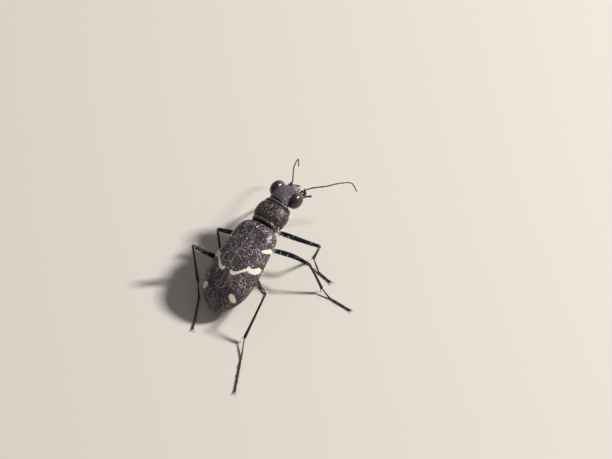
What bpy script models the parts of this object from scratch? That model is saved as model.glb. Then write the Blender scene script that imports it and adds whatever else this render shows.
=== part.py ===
"""A life-size tiger beetle on its six feet, divided into plates, eyes, mouthparts, feelers and legs."""

import math

import bmesh
import bpy
from mathutils import Matrix, Vector

MM = 0.001

# Gap between plates that touch in life, wall of a wing case, and the least thickness of a leg or feeler, in mm.
GAP = 0.1
WALL = 0.5
LIMB_RADIUS = 0.25

# Where the wing cases meet the scutellum, above the middle of the stance, and how the hind body is held.
BODY_PLACE = (-2.48, 2.14, 4.0)
BODY_PITCH = 23
BODY_ROLL = -2
BODY_YAW = -4
# The waist, ahead of the scutellum: the pronotum and head turn to the beetle's right and slope less.
WAIST = (-2.42, 2.35, 4.15)
FORE_PITCH = 9
FORE_YAW = -4
# The head hangs from the front of the pronotum, measured from the waist.
NECK = (-0.11, 3.08, 0.12)
HEAD_PITCH = -16
HEAD_YAW = -8

# Wing cases: (mm ahead of the scutellum, half-width over both, height of the seam over the side margin).
CASE_PROFILE = (
    (0.42, 0.92, 0.62), (0.32, 1.14, 0.78), (0.14, 1.42, 0.94), (-0.10, 1.68, 1.08), (-0.44, 1.84, 1.21),
    (-0.98, 1.90, 1.33), (-2.15, 2.00, 1.52), (-3.52, 2.13, 1.68), (-4.80, 2.16, 1.66), (-5.87, 1.97, 1.42),
    (-6.76, 1.54, 1.03), (-7.44, 0.92, 0.58), (-7.83, 0.22, 0.18),
)
CASE_STATIONS = (0.42, 0.32, 0.14, 0.0, -0.2, -0.5, -0.9, -1.4, -2.0, -2.7, -3.5, -4.2, -5.0, -5.7, -6.3, -6.8,
                 -7.15, -7.45, -7.7, -7.83)
CASE_ROUNDNESS = 2.35
CASE_RIM = 0.25
CASE_ARC_STEPS = 8
# The shoulder boss and the hollow beside the seam: (x, y, radius, height).
CASE_RELIEF = ((1.42, -0.75, 0.50, 0.12), (0.75, -1.25, 0.60, -0.10))

# Underside: (mm ahead of the scutellum, depth under the side margin).
BELLY_PROFILE = ((0.6, 0.80), (0.1, 1.05), (-0.8, 1.28), (-2.4, 1.26), (-3.4, 1.10), (-4.7, 0.92), (-5.9, 0.72),
                 (-6.9, 0.46), (-7.6, 0.30))
THORAX_STATIONS = (-3.15, -2.5, -1.8, -1.1, -0.6, -0.2)
COLLAR = ((0.12, 0.80, 0.16), (0.40, 0.80, 0.30), (0.75, 0.72, 0.30))
ABDOMEN_STATIONS = (-7.58, -7.35, -7.0, -6.5, -5.9, -5.3, -4.6, -3.9, -3.25)
BELLY_INSET = 0.14
COLLAR_DEPTH = 0.75
# The small shield between the bases of the wing cases, in plan. It stands a little above them.
SCUTELLUM_OUTLINE = ((-0.36, 0.40), (0.36, 0.40), (0.30, 0.18), (0.0, -0.42), (-0.30, 0.18))
SCUTELLUM_RISE = 0.03
SCUTELLUM_BOTTOM = 0.42

# Pronotum: (mm ahead of the waist, half-width, top, bottom), with a groove behind the front rim.
PRONOTUM_PROFILE = (
    (0.18, 1.08, 0.80, 0.70), (0.30, 1.22, 0.92, 0.80), (0.48, 1.20, 0.86, 0.84), (0.75, 1.36, 1.00, 0.92),
    (1.30, 1.46, 1.10, 0.95), (1.80, 1.37, 1.08, 0.92), (2.08, 1.22, 0.94, 0.86), (2.24, 1.24, 0.93, 0.82),
    (2.36, 1.16, 0.86, 0.76), (2.44, 0.98, 0.74, 0.66),
)

# Head, from the neck forward: (mm, half-width, top, bottom). It broadens between the eyes.
HEAD_PROFILE = (
    (-0.75, 0.70, 0.50, 0.50), (-0.40, 0.90, 0.68, 0.62), (0.00, 0.94, 0.74, 0.70), (0.35, 0.88, 0.73, 0.72),
    (0.75, 0.84, 0.66, 0.72), (1.10, 0.78, 0.52, 0.68), (1.38, 0.70, 0.34, 0.58), (1.50, 0.60, 0.24, 0.48),
)
# A brow beside each eye and the hollow between the brows: (x, y, radius, height).
HEAD_RELIEF = ((0.62, 0.45, 0.32, 0.10), (0.0, 0.55, 0.35, -0.07))
EYE_PLACE = (1.00, 0.50, 0.10)
EYE_RADII = (0.56, 0.76, 0.70)
# The lip over the jaws: (mm, half-width, top, bottom). Jaws and palps are lines for the right side.
LABRUM_PROFILE = (
    (1.30, 0.32, 0.14, 0.12), (1.55, 0.42, 0.09, 0.18), (1.80, 0.42, 0.04, 0.22), (1.98, 0.28, 0.02, 0.20),
)
MANDIBLE_LINE = ((0.42, 1.28, -0.40), (0.74, 1.75, -0.48), (0.62, 2.25, -0.52), (0.17, 2.62, -0.52))
MAXILLARY_LINE = ((0.52, 0.70, -0.60), (0.70, 1.27, -1.12), (0.50, 2.10, -1.04), (0.84, 2.90, -1.16))
LABIUM = ((0.0, 1.02, -0.86), (0.30, 0.48, 0.26))
LABIAL_LINE = ((0.17, 1.20, -0.92), (0.20, 1.62, -1.36), (0.30, 2.00, -1.60))
PALP_RADIUS = 0.2
JAW_RADII = (0.25, 0.06)

# Leg joints in mm from the middle of the stance: trochanter, a point on the femur's bow, knee, ankle,
# instep, where the foot comes down to the floor, and the end of the foot.
LEGS = {
    "front_right": ((-1.65, 3.30, 3.02), (0.70, 3.46, 3.10), (2.15, 3.79, 2.90), (1.37, 4.14, 0.48),
                    (2.40, 3.25, 0.20), (3.69, 2.86, 0.20)),
    "front_left": ((-3.45, 3.55, 3.05), (-3.85, 5.05, 2.90), (-4.12, 6.70, 2.50), (-4.55, 8.10, 0.48),
                   (-4.62, 9.00, 0.20), (-4.45, 10.10, 0.20)),
    "mid_right": ((-1.40, 1.80, 2.45), (0.73, 1.95, 2.70), (2.30, 1.90, 2.60), (3.55, 1.73, 0.48),
                  (4.45, 1.38, 0.20), (6.54, 1.12, 0.20)),
    "mid_left": ((-3.70, 1.70, 2.40), (-4.98, 1.58, 2.68), (-6.18, 1.32, 2.65), (-4.97, -0.01, 0.48),
                 (-4.75, -0.95, 0.20), (-4.45, -3.00, 0.20)),
    "hind_right": ((-1.48, -0.45, 1.42), (-0.62, -1.38, 1.68), (1.04, -3.13, 3.50), (0.63, -5.80, 0.48),
                   (1.30, -7.40, 0.20), (2.61, -10.60, 0.20)),
    "hind_left": ((-3.68, -0.45, 1.42), (-5.05, -0.90, 2.10), (-6.50, -1.96, 3.80), (-5.73, -2.66, 0.48),
                  (-4.86, -3.95, 0.20), (-3.60, -6.90, 0.20)),
}
# Radius of a femur by the share of its length from the trochanter.
FEMUR_RADII = ((0.0, 0.25), (0.3, 0.27), (0.75, 0.29), (1.0, 0.25))
CLAW_LENGTH = 0.45
CLAW_SPREAD = 0.26
CLAW_RADII = (0.12, 0.11, 0.10, 0.07, 0.04)
TARSOMERES = 5
COXA_RADII = {"front": (0.42, 0.52, 0.52), "mid": (0.46, 0.50, 0.48), "hind": (0.54, 0.46, 0.42)}
COXA_PLACES = {
    "front_right": (-1.95, 3.50, 3.22), "front_left": (-2.93, 3.46, 3.22),
    "mid_right": (-1.96, 1.55, 2.55), "mid_left": (-3.12, 1.55, 2.55),
    "hind_right": (-1.93, -0.35, 1.70), "hind_left": (-3.20, -0.33, 1.70),
}

# Feelers, in mm from the middle of the stance: root in the head, end of the scape, the shaft and the tip.
FEELER_TAPER = 0.12
FEELERS = {
    "left": ((-2.66, 6.62, 4.68), (-2.40, 7.10, 4.95), (-2.85, 8.05, 4.60), (-3.41, 9.08, 4.00),
             (-3.76, 9.88, 3.60), (-4.03, 10.93, 3.10), (-3.97, 10.90, 2.25)),
    "right": ((-1.52, 6.36, 4.66), (-1.08, 6.96, 4.88), (-0.61, 7.51, 4.90), (0.23, 8.36, 4.75),
              (0.79, 9.25, 4.50), (1.48, 10.24, 3.95), (1.95, 10.38, 3.00)),
}


def curve_value(pairs, at):
    """The value at one place on a smooth curve through (place, value) pairs, which may run either way."""
    pairs = sorted(pairs)
    if at <= pairs[0][0]:
        return pairs[0][1]
    if at >= pairs[-1][0]:
        return pairs[-1][1]
    last = len(pairs) - 1
    slopes = []
    for i in range(last + 1):
        before, after = pairs[max(i - 1, 0)], pairs[min(i + 1, last)]
        slopes.append((after[1] - before[1]) / (after[0] - before[0]))
    i = next(k for k in range(last) if pairs[k + 1][0] >= at)
    (x0, v0), (x1, v1) = pairs[i], pairs[i + 1]
    span = x1 - x0
    t = (at - x0) / span
    return (
        v0 * (2 * t**3 - 3 * t**2 + 1)
        + slopes[i] * span * (t**3 - 2 * t**2 + t)
        + v1 * (3 * t**2 - 2 * t**3)
        + slopes[i + 1] * span * (t**3 - t**2)
    )


def column(profile, index):
    """One size of a profile as (place, value) pairs."""
    return [(row[0], row[index]) for row in profile]


def power(value, exponent):
    return math.copysign(abs(value) ** exponent, value)


def finish(name, surface, material, parent=None):
    """Makes a bmesh in mm the named object, with its faces outward."""
    bmesh.ops.recalc_face_normals(surface, faces=surface.faces)
    surface.transform(Matrix.Scale(MM, 4))
    mesh = bpy.data.meshes.new(name)
    surface.to_mesh(mesh)
    surface.free()
    mesh.materials.append(material)
    mesh.shade_smooth()
    mesh.set_sharp_from_angle(angle=math.radians(40))
    made = bpy.data.objects.new(name, mesh)
    bpy.context.scene.collection.objects.link(made)
    made.parent = parent
    return made


def skin(rings):
    """A closed surface through rings of points with as many points each, capped at both ends."""
    surface = bmesh.new()
    loops = [[surface.verts.new(point) for point in ring] for ring in rings]
    count = len(loops[0])
    for near, far in zip(loops, loops[1:]):
        for i in range(count):
            j = (i + 1) % count
            surface.faces.new((near[i], near[j], far[j], far[i]))
    for end in (loops[0], loops[-1]):
        surface.faces.new(end)
    return surface


def oval_ring(y, half_width, top, bottom, roundness=2.2, sides=20):
    """A ring across the body at y: an oval, squarer as its roundness grows, with its own top and bottom."""
    ring = []
    for i in range(sides):
        angle = 2 * math.pi * i / sides
        x = half_width * power(math.cos(angle), 2 / roundness)
        z = power(math.sin(angle), 2 / roundness)
        ring.append((x, y, z * (top if z > 0 else bottom)))
    return ring


def ovals(profile, grow=0.0, sides=20, roundness=2.2):
    """The closed surface through a profile's ovals, larger all round by grow."""
    rings = []
    for i, (y, half_width, top, bottom) in enumerate(profile):
        if i == 0:
            y -= grow
        if i == len(profile) - 1:
            y += grow
        rings.append(oval_ring(y, half_width + grow, top + grow, bottom + grow, roundness, sides))
    return skin(rings)


def keep_largest(made):
    """Drops every loose scrap from an object's mesh, and keeps its largest closed surface."""
    surface = bmesh.new()
    surface.from_mesh(made.data)
    bmesh.ops.remove_doubles(surface, verts=surface.verts, dist=0.000001)
    bmesh.ops.dissolve_verts(surface, verts=[vert for vert in surface.verts if len(vert.link_edges) == 2])
    islands, seen = [], set()
    for vert in surface.verts:
        if vert in seen:
            continue
        island, front = [], [vert]
        seen.add(vert)
        while front:
            here = front.pop()
            island.append(here)
            for edge in here.link_edges:
                other = edge.other_vert(here)
                if other not in seen:
                    seen.add(other)
                    front.append(other)
        islands.append(island)
    islands.sort(key=lambda island: sum(f.calc_area() for v in island for f in v.link_faces))
    for island in islands[:-1]:
        bmesh.ops.delete(surface, geom=island, context="VERTS")
    surface.to_mesh(made.data)
    surface.free()


def apply_modifiers(made):
    """Gives the object the mesh that its modifiers make, and removes them."""
    bpy.context.view_layer.update()
    graph = bpy.context.evaluated_depsgraph_get()
    mesh = bpy.data.meshes.new_from_object(made.evaluated_get(graph))
    made.modifiers.clear()
    made.data = mesh
    keep_largest(made)


def cut_clear(made, *cutters):
    """Cuts an object back from helpers that are a neighbour grown by the gap, and removes the helpers."""
    for cutter in cutters:
        cut = made.modifiers.new("clear_" + cutter.name, "BOOLEAN")
        cut.operation = "DIFFERENCE"
        cut.solver = "EXACT"
        cut.object = cutter
    apply_modifiers(made)
    for cutter in cutters:
        bpy.data.objects.remove(cutter)


def join(made, pieces):
    """One Boolean union of an object with closed pieces, which are then removed."""
    collection = bpy.data.collections.new(made.name + "_pieces")
    bpy.context.scene.collection.children.link(collection)
    for piece in pieces:
        bpy.context.scene.collection.objects.unlink(piece)
        collection.objects.link(piece)
    union = made.modifiers.new("join", "BOOLEAN")
    union.operation = "UNION"
    union.operand_type = "COLLECTION"
    union.collection = collection
    union.solver = "EXACT"
    apply_modifiers(made)
    for piece in pieces:
        bpy.data.objects.remove(piece)
    bpy.data.collections.remove(collection)


def bowed_line(points, steps):
    """Points along a smooth line through the given points."""
    points = [Vector(p) for p in points]
    padded = [2 * points[0] - points[1], *points, 2 * points[-1] - points[-2]]
    line = []
    for i in range(1, len(padded) - 2):
        a, b, c, d = padded[i - 1:i + 3]
        for k in range(steps):
            t = k / steps
            line.append(0.5 * (2 * b + (c - a) * t + (2 * a - 5 * b + 4 * c - d) * t**2
                               + (3 * b - a - 3 * c + d) * t**3))
    line.append(points[-1])
    return line


def round_ring(centre, side, up, radius, sides):
    """A ring of points round a centre, in the plane of two ways across."""
    ring = []
    for k in range(sides):
        angle = 2 * math.pi * k / sides
        ring.append(centre + (side * math.cos(angle) + up * math.sin(angle)) * radius)
    return ring


def tube(line, radii, sides=10):
    """A closed tube along a line of points, with one radius a point and rounded ends."""
    line = [Vector(p) for p in line]
    ways = []
    for i in range(len(line)):
        ways.append((line[min(i + 1, len(line) - 1)] - line[max(i - 1, 0)]).normalized())
    side = ways[0].orthogonal().normalized()
    rings = []
    for i, (point, way, radius) in enumerate(zip(line, ways, radii)):
        side = (side - way * side.dot(way)).normalized()
        up = way.cross(side)
        steps = [(0.0, 1.0)]
        if i == 0:
            steps = [(-0.8, 0.35), (-0.5, 0.8), (0.0, 1.0)]
        elif i == len(line) - 1:
            steps = [(0.0, 1.0), (0.5, 0.8), (0.8, 0.35)]
        for along, share in steps:
            rings.append(round_ring(point + way * radius * along, side, up, radius * share, sides))
    return skin(rings)


def trim(surface, point, outward):
    """Cuts away all that lies past a plane, and closes the cut."""
    geometry = surface.verts[:] + surface.edges[:] + surface.faces[:]
    bmesh.ops.bisect_plane(surface, geom=geometry, dist=0.0001, plane_co=point, plane_no=outward,
                           clear_outer=True)
    edges = [edge for edge in surface.edges if edge.is_boundary]
    if edges:
        bmesh.ops.holes_fill(surface, edges=edges, sides=0)
    return surface


def mirrored(line, side):
    return [(side * x, y, z) for x, y, z in line]


def between(a, b, share):
    return Vector(a) * (1 - share) + Vector(b) * share


def case_size(y):
    return curve_value(column(CASE_PROFILE, 1), y), curve_value(column(CASE_PROFILE, 2), y)


def case_relief(x, y):
    """How far the shoulder boss and the hollow beside the seam raise the wing case."""
    rise = 0.0
    for at_x, at_y, radius, height in CASE_RELIEF:
        rise += height * math.exp(-((x - at_x) ** 2 + (y - at_y) ** 2) / radius**2)
    return rise


def case_arc(y, inset, side):
    """Points across one wing case at y, from the seam to the side margin, set in from the outer face."""
    half_width, height = (max(size - inset, size / 2) for size in case_size(y))
    arc = []
    for i in range(CASE_ARC_STEPS + 1):
        angle = math.pi / 2 * i / CASE_ARC_STEPS
        x = max(half_width * power(math.sin(angle), 2 / CASE_ROUNDNESS), GAP / 2)
        z = height * power(math.cos(angle), 2 / CASE_ROUNDNESS)
        arc.append((side * x, y, z + (case_relief(x, y) if i < CASE_ARC_STEPS else 0.0)))
    return arc


def wing_case(name, side, material, parent):
    """One wing case: a curved shell with a wall, open below over the hind body."""
    rings = []
    for y in CASE_STATIONS:
        outer, inner = case_arc(y, 0.0, side), case_arc(y, WALL, side)
        rim = CASE_RIM * min(1.0, case_size(y)[0] / 1.2)
        outer.append((outer[-1][0] - side * 0.06, y, -rim))
        inner.append((inner[-1][0], y, -rim))
        rings.append(outer + inner[::-1])
    return finish(name, skin(rings), material, parent)


def underside(stations, grow=0.0):
    """The hind body under the wing cases: it fills them, and steps out to their margin below."""
    rings = []
    for k, y in enumerate(stations):
        if k == 0:
            place = y - grow
        elif k == len(stations) - 1:
            place = y + grow
        else:
            place = y
        width, height = case_size(y)
        inner, top = (max(size - WALL, size / 2) - GAP for size in (width, height))
        rim = CASE_RIM * min(1.0, width / 1.2)
        outer = max(width - BELLY_INSET, inner)
        shelf = -rim - GAP
        depth = max(curve_value(BELLY_PROFILE, y), rim + GAP + 0.05)
        half = []
        for i in range(8):
            angle = math.pi / 2 * i / 7
            half.append(((inner + grow) * math.sin(angle) ** 0.85, place,
                         shelf + grow + (top - shelf) * math.cos(angle) ** 0.85))
        for i in range(7):
            angle = math.pi / 2 * i / 6
            half.append(((outer + grow) * math.cos(angle) ** 0.8, place,
                         shelf - (depth + shelf + grow) * math.sin(angle) ** 0.8))
        other_half = [(-x, y_, z) for x, y_, z in half[1:-1]]
        rings.append(half + other_half[::-1])
    return skin(rings)


def collar(grow=0.0):
    """The short waist from the middle body up to the pronotum."""
    rings = []
    stations = (THORAX_STATIONS[-1] - 0.3,) + tuple(row[0] for row in COLLAR)
    for y in stations:
        half_width = curve_value(column(COLLAR, 1), y) + grow
        top = curve_value(column(COLLAR, 2), y) + grow
        rings.append(oval_ring(y, half_width, top, COLLAR_DEPTH + grow, 2.2, 16))
    return skin(rings)


def plate_material(name, colour, roughness, metallic):
    material = bpy.data.materials.new(name)
    material.use_nodes = True
    shader = material.node_tree.nodes["Principled BSDF"]
    shader.inputs["Base Color"].default_value = (*colour, 1.0)
    shader.inputs["Roughness"].default_value = roughness
    shader.inputs["Metallic"].default_value = metallic
    return material


def frame_empty(name, place, pitch, roll=0, yaw=0, parent=None):
    empty = bpy.data.objects.new(name, None)
    bpy.context.scene.collection.objects.link(empty)
    empty.location = Vector(place) * MM
    empty.rotation_euler = (math.radians(pitch), math.radians(roll), math.radians(yaw))
    empty.parent = parent
    return empty


def ellipsoid(name, place, radii, material, parent=None, rings=10, sides=16):
    surface = bmesh.new()
    bmesh.ops.create_uvsphere(surface, u_segments=sides, v_segments=rings, radius=1.0)
    surface.transform(Matrix.Translation(place) @ Matrix.Diagonal((*radii, 1.0)))
    return finish(name, surface, material, parent)


def scutellum_surface(grow=0.0):
    spread = 1 + grow / (0.5 * SCUTELLUM_OUTLINE[1][0] + 0.12)
    floor, roof = [], []
    for x, y in SCUTELLUM_OUTLINE:
        floor.append((x * spread, y * spread, SCUTELLUM_BOTTOM - grow))
        roof.append((x * spread, y * spread, case_size(y)[1] + SCUTELLUM_RISE + grow * 4))
    return skin([floor, roof])


def build_hind_body(materials, fore, hind):
    """The middle body, belly, scutellum and wing cases."""
    thorax = finish("thorax", underside(THORAX_STATIONS), materials["underside"], hind)
    neck = finish("waist", collar(), materials["underside"], hind)
    join(thorax, [neck])
    finish("abdomen", underside(ABDOMEN_STATIONS), materials["underside"], hind)
    finish("scutellum", scutellum_surface(), materials["body"], hind)
    cut_clear(thorax, finish("scutellum_clear", scutellum_surface(GAP), materials["body"], hind))
    for label, side in (("left", -1), ("right", 1)):
        case = wing_case("wing_case_" + label, side, materials["wing_case"], hind)
        cut_clear(
            case,
            finish("scutellum_clear", scutellum_surface(GAP), materials["body"], hind),
            finish("collar_clear", collar(GAP), materials["underside"], hind),
            finish("pronotum_clear", pronotum_surface(GAP), materials["body"], fore),
        )
    return thorax


def pronotum_surface(grow=0.0):
    return ovals(PRONOTUM_PROFILE, grow, sides=24, roundness=2.3)


def head_surface(grow=0.0):
    surface = ovals(HEAD_PROFILE, grow, sides=20, roundness=2.3)
    for vert in surface.verts:
        if vert.co.z > 0:
            for at_x, at_y, radius, height in HEAD_RELIEF:
                apart = (abs(vert.co.x) - at_x) ** 2 + (vert.co.y - at_y) ** 2
                vert.co.z += height * math.exp(-apart / radius**2)
    return surface


def build_head(materials, fore, head):
    """Head, eyes, lip, jaws and palps, all cut clear of one another."""

    def head_clear():
        return finish("head_clear", head_surface(GAP), materials["body"], head)

    skull = finish("head", head_surface(), materials["body"], head)
    cut_clear(skull, finish("pronotum_clear", pronotum_surface(GAP), materials["body"], fore))
    for label, side in (("left", -1), ("right", 1)):
        place = (side * EYE_PLACE[0], EYE_PLACE[1], EYE_PLACE[2])
        eye = ellipsoid("eye_" + label, place, EYE_RADII, materials["eye"], head, 12, 18)
        cut_clear(eye, head_clear())
    labrum = finish("labrum", ovals(LABRUM_PROFILE, 0.0, 14, 2.6), materials["labrum"], head)
    cut_clear(labrum, head_clear())
    labium = ellipsoid("labium", *LABIUM, materials["mandible"], head, 8, 14)
    cut_clear(labium, head_clear())
    palps = []
    for label, side in (("left", -1), ("right", 1)):
        jaw_line = bowed_line(mirrored(MANDIBLE_LINE, side), 3)
        jaw_radii = [JAW_RADII[0] + (JAW_RADII[1] - JAW_RADII[0]) * (i / (len(jaw_line) - 1)) ** 1.6
                     for i in range(len(jaw_line))]
        jaw = finish("mandible_" + label, tube(jaw_line, jaw_radii, 8), materials["mandible"], head)
        cut_clear(jaw, head_clear())
        palp_line = bowed_line(mirrored(MAXILLARY_LINE, side), 3)
        palp = finish("maxillary_palp_" + label, tube(palp_line, [PALP_RADIUS] * len(palp_line), 8),
                      materials["leg"], head)
        cut_clear(palp, head_clear())
        palp_line = bowed_line(mirrored(LABIAL_LINE, side), 2)
        palps.append(finish("labial_palp_" + label, tube(palp_line, [PALP_RADIUS] * len(palp_line), 8),
                            materials["leg"], head))
    join(labium, palps)


def build_feelers(materials, head):
    """Each feeler in three lengths: the scape, the shaft and the drooping tip."""
    for label, points in FEELERS.items():
        line = bowed_line(points, 3)
        scape_end, shaft_end = 3, 14
        lengths = {"scape": (0, scape_end), "shaft": (scape_end, shaft_end), "tip": (shaft_end, len(line) - 1)}
        for part, (first, last) in lengths.items():
            run = line[first:last + 1]
            taper = FEELER_TAPER if part == "tip" else 0.0
            radii = [LIMB_RADIUS - taper * i / (last - first) for i in range(len(run))]
            surface = tube(run, radii, 8)
            if first > 0:
                way = joint_plane(line[first - 1], line[first], line[first + 1])
                trim(surface, line[first] + way * GAP / 2, -way)
            if last < len(line) - 1:
                way = joint_plane(line[last - 1], line[last], line[last + 1])
                trim(surface, line[last] - way * GAP / 2, way)
            made = finish(f"antenna_{label}_{part}", surface, materials["feeler"])
            if part == "scape":
                side = -1 if label == "left" else 1
                place = (side * EYE_PLACE[0], EYE_PLACE[1], EYE_PLACE[2])
                grown = [radius + GAP for radius in EYE_RADII]
                eye_clear = ellipsoid("eye_clear", place, grown, materials["eye"], head, 12, 18)
                cut_clear(made, finish("head_clear", head_surface(GAP), materials["body"], head), eye_clear)


def joint_plane(before, joint, after):
    """The way across a joint, halfway between the segment that comes in and the one that goes out."""
    return ((joint - before).normalized() + (after - joint).normalized()).normalized()


def foot(ankle, instep, tip):
    """The line and radii of a foot of five swelling segments that comes down to the floor at the instep."""
    line, radii = [], []
    steps = 3
    count = TARSOMERES * steps
    bend = max(1, round(count * (instep - ankle).length / ((instep - ankle).length + (tip - instep).length)))
    for i in range(count + 1):
        if i < bend:
            line.append(between(ankle, instep, i / bend))
        else:
            line.append(between(instep, tip, (i - bend) / (count - bend)))
        radii.append((LIMB_RADIUS - 0.05 * i / count) * (0.88 + 0.16 * (i % steps) / steps))
    return line, radii


def claws(tip, way, material):
    """Two curved claws that spread from the end of a foot."""
    pieces = []
    across = way.cross(Vector((0, 0, 1))).normalized()
    for side in (-1, 1):
        start = tip - way * CLAW_LENGTH / 3
        middle = tip + way * CLAW_LENGTH * 0.55 + across * side * 0.6 * CLAW_SPREAD + Vector((0, 0, 0.05))
        end = tip + way * CLAW_LENGTH + across * side * CLAW_SPREAD - Vector((0, 0, 0.08))
        line = bowed_line([start, middle, end], 2)
        pieces.append(finish(f"claw_{side}", tube(line, CLAW_RADII, 6), material))
    return pieces


def level_foot(made):
    """Flattens a foot's underside onto the floor."""
    for vert in made.data.vertices:
        vert.co.z = max(vert.co.z, 0.0)


def body_clear(pair, materials, fore, hind):
    """The part of the body that a leg grows from, larger all round by the gap."""
    if pair == "front":
        return finish("body_clear", pronotum_surface(GAP), materials["body"], fore)
    return finish("body_clear", underside(ABDOMEN_STATIONS + THORAX_STATIONS, GAP), materials["body"], hind)


def build_leg(label, materials, fore, hind):
    hip, bow, knee, ankle, instep, tip = (Vector(point) for point in LEGS[label])
    pair = label.split("_")[0]
    coxa = ellipsoid("coxa_" + label, COXA_PLACES[label], COXA_RADII[pair], materials["underside"], None, 8, 12)
    cut_clear(coxa, body_clear(pair, materials, fore, hind))
    femur_line = bowed_line([hip, bow, knee], 4)
    last = len(femur_line) - 1
    radii = [curve_value(FEMUR_RADII, i / last) for i in range(last + 1)]
    femur = tube(femur_line, radii)
    knee_way = joint_plane(femur_line[-2], knee, ankle)
    trim(femur, knee - knee_way * GAP / 2, knee_way)
    thigh = finish("femur_" + label, femur, materials["leg"])
    grown = [radius + GAP for radius in COXA_RADII[pair]]
    coxa_clear = ellipsoid("coxa_clear", COXA_PLACES[label], grown, materials["leg"], None, 8, 12)
    cut_clear(thigh, coxa_clear, body_clear(pair, materials, fore, hind))
    ankle_way = joint_plane(knee, ankle, instep)
    tibia_line = [between(knee, ankle, i / 5) for i in range(6)]
    tibia = tube(tibia_line, [LIMB_RADIUS] * 6)
    trim(tibia, knee + knee_way * GAP / 2, -knee_way)
    trim(tibia, ankle - ankle_way * GAP / 2, ankle_way)
    finish("tibia_" + label, tibia, materials["leg"])
    line, radii = foot(ankle, instep, tip)
    surface = tube(line, radii, 8)
    trim(surface, ankle + ankle_way * GAP / 2, -ankle_way)
    sole = finish("tarsus_" + label, surface, materials["foot"])
    join(sole, claws(line[-1], (line[-1] - line[-4]).normalized(), materials["foot"]))
    level_foot(sole)


def main():
    for old in list(bpy.data.objects):
        bpy.data.objects.remove(old)
    materials = {
        "body": plate_material("bronze_black_cuticle", (0.045, 0.034, 0.036), 0.45, 0.35),
        "wing_case": plate_material("pitted_brown_black_cuticle", (0.050, 0.036, 0.038), 0.5, 0.3),
        "underside": plate_material("blue_black_cuticle", (0.018, 0.022, 0.030), 0.35, 0.5),
        "eye": plate_material("dark_compound_eye", (0.028, 0.017, 0.014), 0.2, 0.0),
        "labrum": plate_material("pale_horn", (0.55, 0.46, 0.33), 0.4, 0.0),
        "mandible": plate_material("black_horn", (0.03, 0.022, 0.02), 0.3, 0.2),
        "leg": plate_material("metallic_leg_cuticle", (0.022, 0.022, 0.030), 0.3, 0.5),
        "foot": plate_material("dark_foot_cuticle", (0.030, 0.026, 0.024), 0.45, 0.2),
        "feeler": plate_material("brown_black_feeler", (0.035, 0.026, 0.024), 0.5, 0.1),
    }
    hind = frame_empty("hind_body_frame", BODY_PLACE, BODY_PITCH, BODY_ROLL, BODY_YAW)
    fore = frame_empty("fore_body_frame", WAIST, FORE_PITCH, 0, FORE_YAW)
    head = frame_empty("head_frame", NECK, HEAD_PITCH, 0, HEAD_YAW, fore)
    bpy.context.view_layer.update()
    finish("pronotum", pronotum_surface(), materials["body"], fore)
    thorax = build_hind_body(materials, fore, hind)
    cut_clear(thorax, finish("pronotum_clear", pronotum_surface(GAP), materials["body"], fore))
    build_head(materials, fore, head)
    build_feelers(materials, head)
    for label in LEGS:
        build_leg(label, materials, fore, hind)


main()
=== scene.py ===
# %% [markdown]
# # A tiger beetle, life size
# This lesson builds the looks of a small ground beetle round a set of plain solids. The solids say where
# every plate, leg and feeler is. Here each of them is replaced by a finer piece: pitted wing cases with
# cream marks, a wrinkled neck shield, faceted eyes, toothed jaws, jointed feelers, bristly legs and fine
# white hairs.

# %% Load the frame
import math

import bmesh
import bpy
import numpy as np
from mathutils import Matrix, Vector


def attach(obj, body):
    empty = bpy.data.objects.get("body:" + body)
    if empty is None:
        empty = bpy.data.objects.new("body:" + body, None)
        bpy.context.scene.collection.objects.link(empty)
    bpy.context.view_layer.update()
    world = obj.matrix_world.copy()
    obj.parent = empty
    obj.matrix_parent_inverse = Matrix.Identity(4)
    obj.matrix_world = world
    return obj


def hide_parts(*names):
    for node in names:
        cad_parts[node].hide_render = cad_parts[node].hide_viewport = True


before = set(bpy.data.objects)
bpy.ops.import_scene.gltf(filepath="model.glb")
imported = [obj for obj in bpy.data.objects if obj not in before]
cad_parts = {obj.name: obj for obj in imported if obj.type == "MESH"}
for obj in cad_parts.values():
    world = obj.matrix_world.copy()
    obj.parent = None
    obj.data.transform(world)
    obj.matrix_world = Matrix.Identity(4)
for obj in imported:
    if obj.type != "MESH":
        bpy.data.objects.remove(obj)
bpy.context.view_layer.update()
print("solids:", len(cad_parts))

# %% [markdown]
# ## Millimetres first, metres last
# Blender's modelling tools merge and select by distances that suit things the size of a hand. A beetle's
# claw is far smaller, so each piece is modelled in millimetres, and its mesh is shrunk to metres when it
# is put in place. The beetle bends at the waist and at the neck, so each body part has a frame of its
# own: the hind body slopes down to the rear, and the neck shield and head turn a little to the beetle's
# right.

# %% The frames of the body
MM = 0.001


def body_frame(place, pitch, roll, yaw):
    """A place and a turn, in millimetres and degrees, as one matrix."""
    turn = Matrix.Rotation(math.radians(yaw), 4, "Z")
    turn = turn @ Matrix.Rotation(math.radians(roll), 4, "Y")
    turn = turn @ Matrix.Rotation(math.radians(pitch), 4, "X")
    return Matrix.Translation(place) @ turn


STANCE = Matrix.Identity(4)
HIND = body_frame((-2.48, 2.14, 4.0), 23, -2, -4)
FORE = body_frame((-2.42, 2.35, 4.15), 9, 0, -4)
HEAD = FORE @ body_frame((-0.11, 3.08, 0.12), -16, 0, -8)
print("the head is at", [round(c, 2) for c in HEAD.translation], "mm")

# %% [markdown]
# ## Camera, light and floor
# The beetle is seen from behind its right side and well above, through a long lens, so that near and far
# legs keep almost the same size. The camera looks along a straight line and the frame isn't shifted. A
# small strong lamp stands ahead and to the right like a low sun, and draws the shadow to the rear left. A
# weak wide lamp on the left and a dim pale world keep the dark sides open. The floor is plain.

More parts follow.
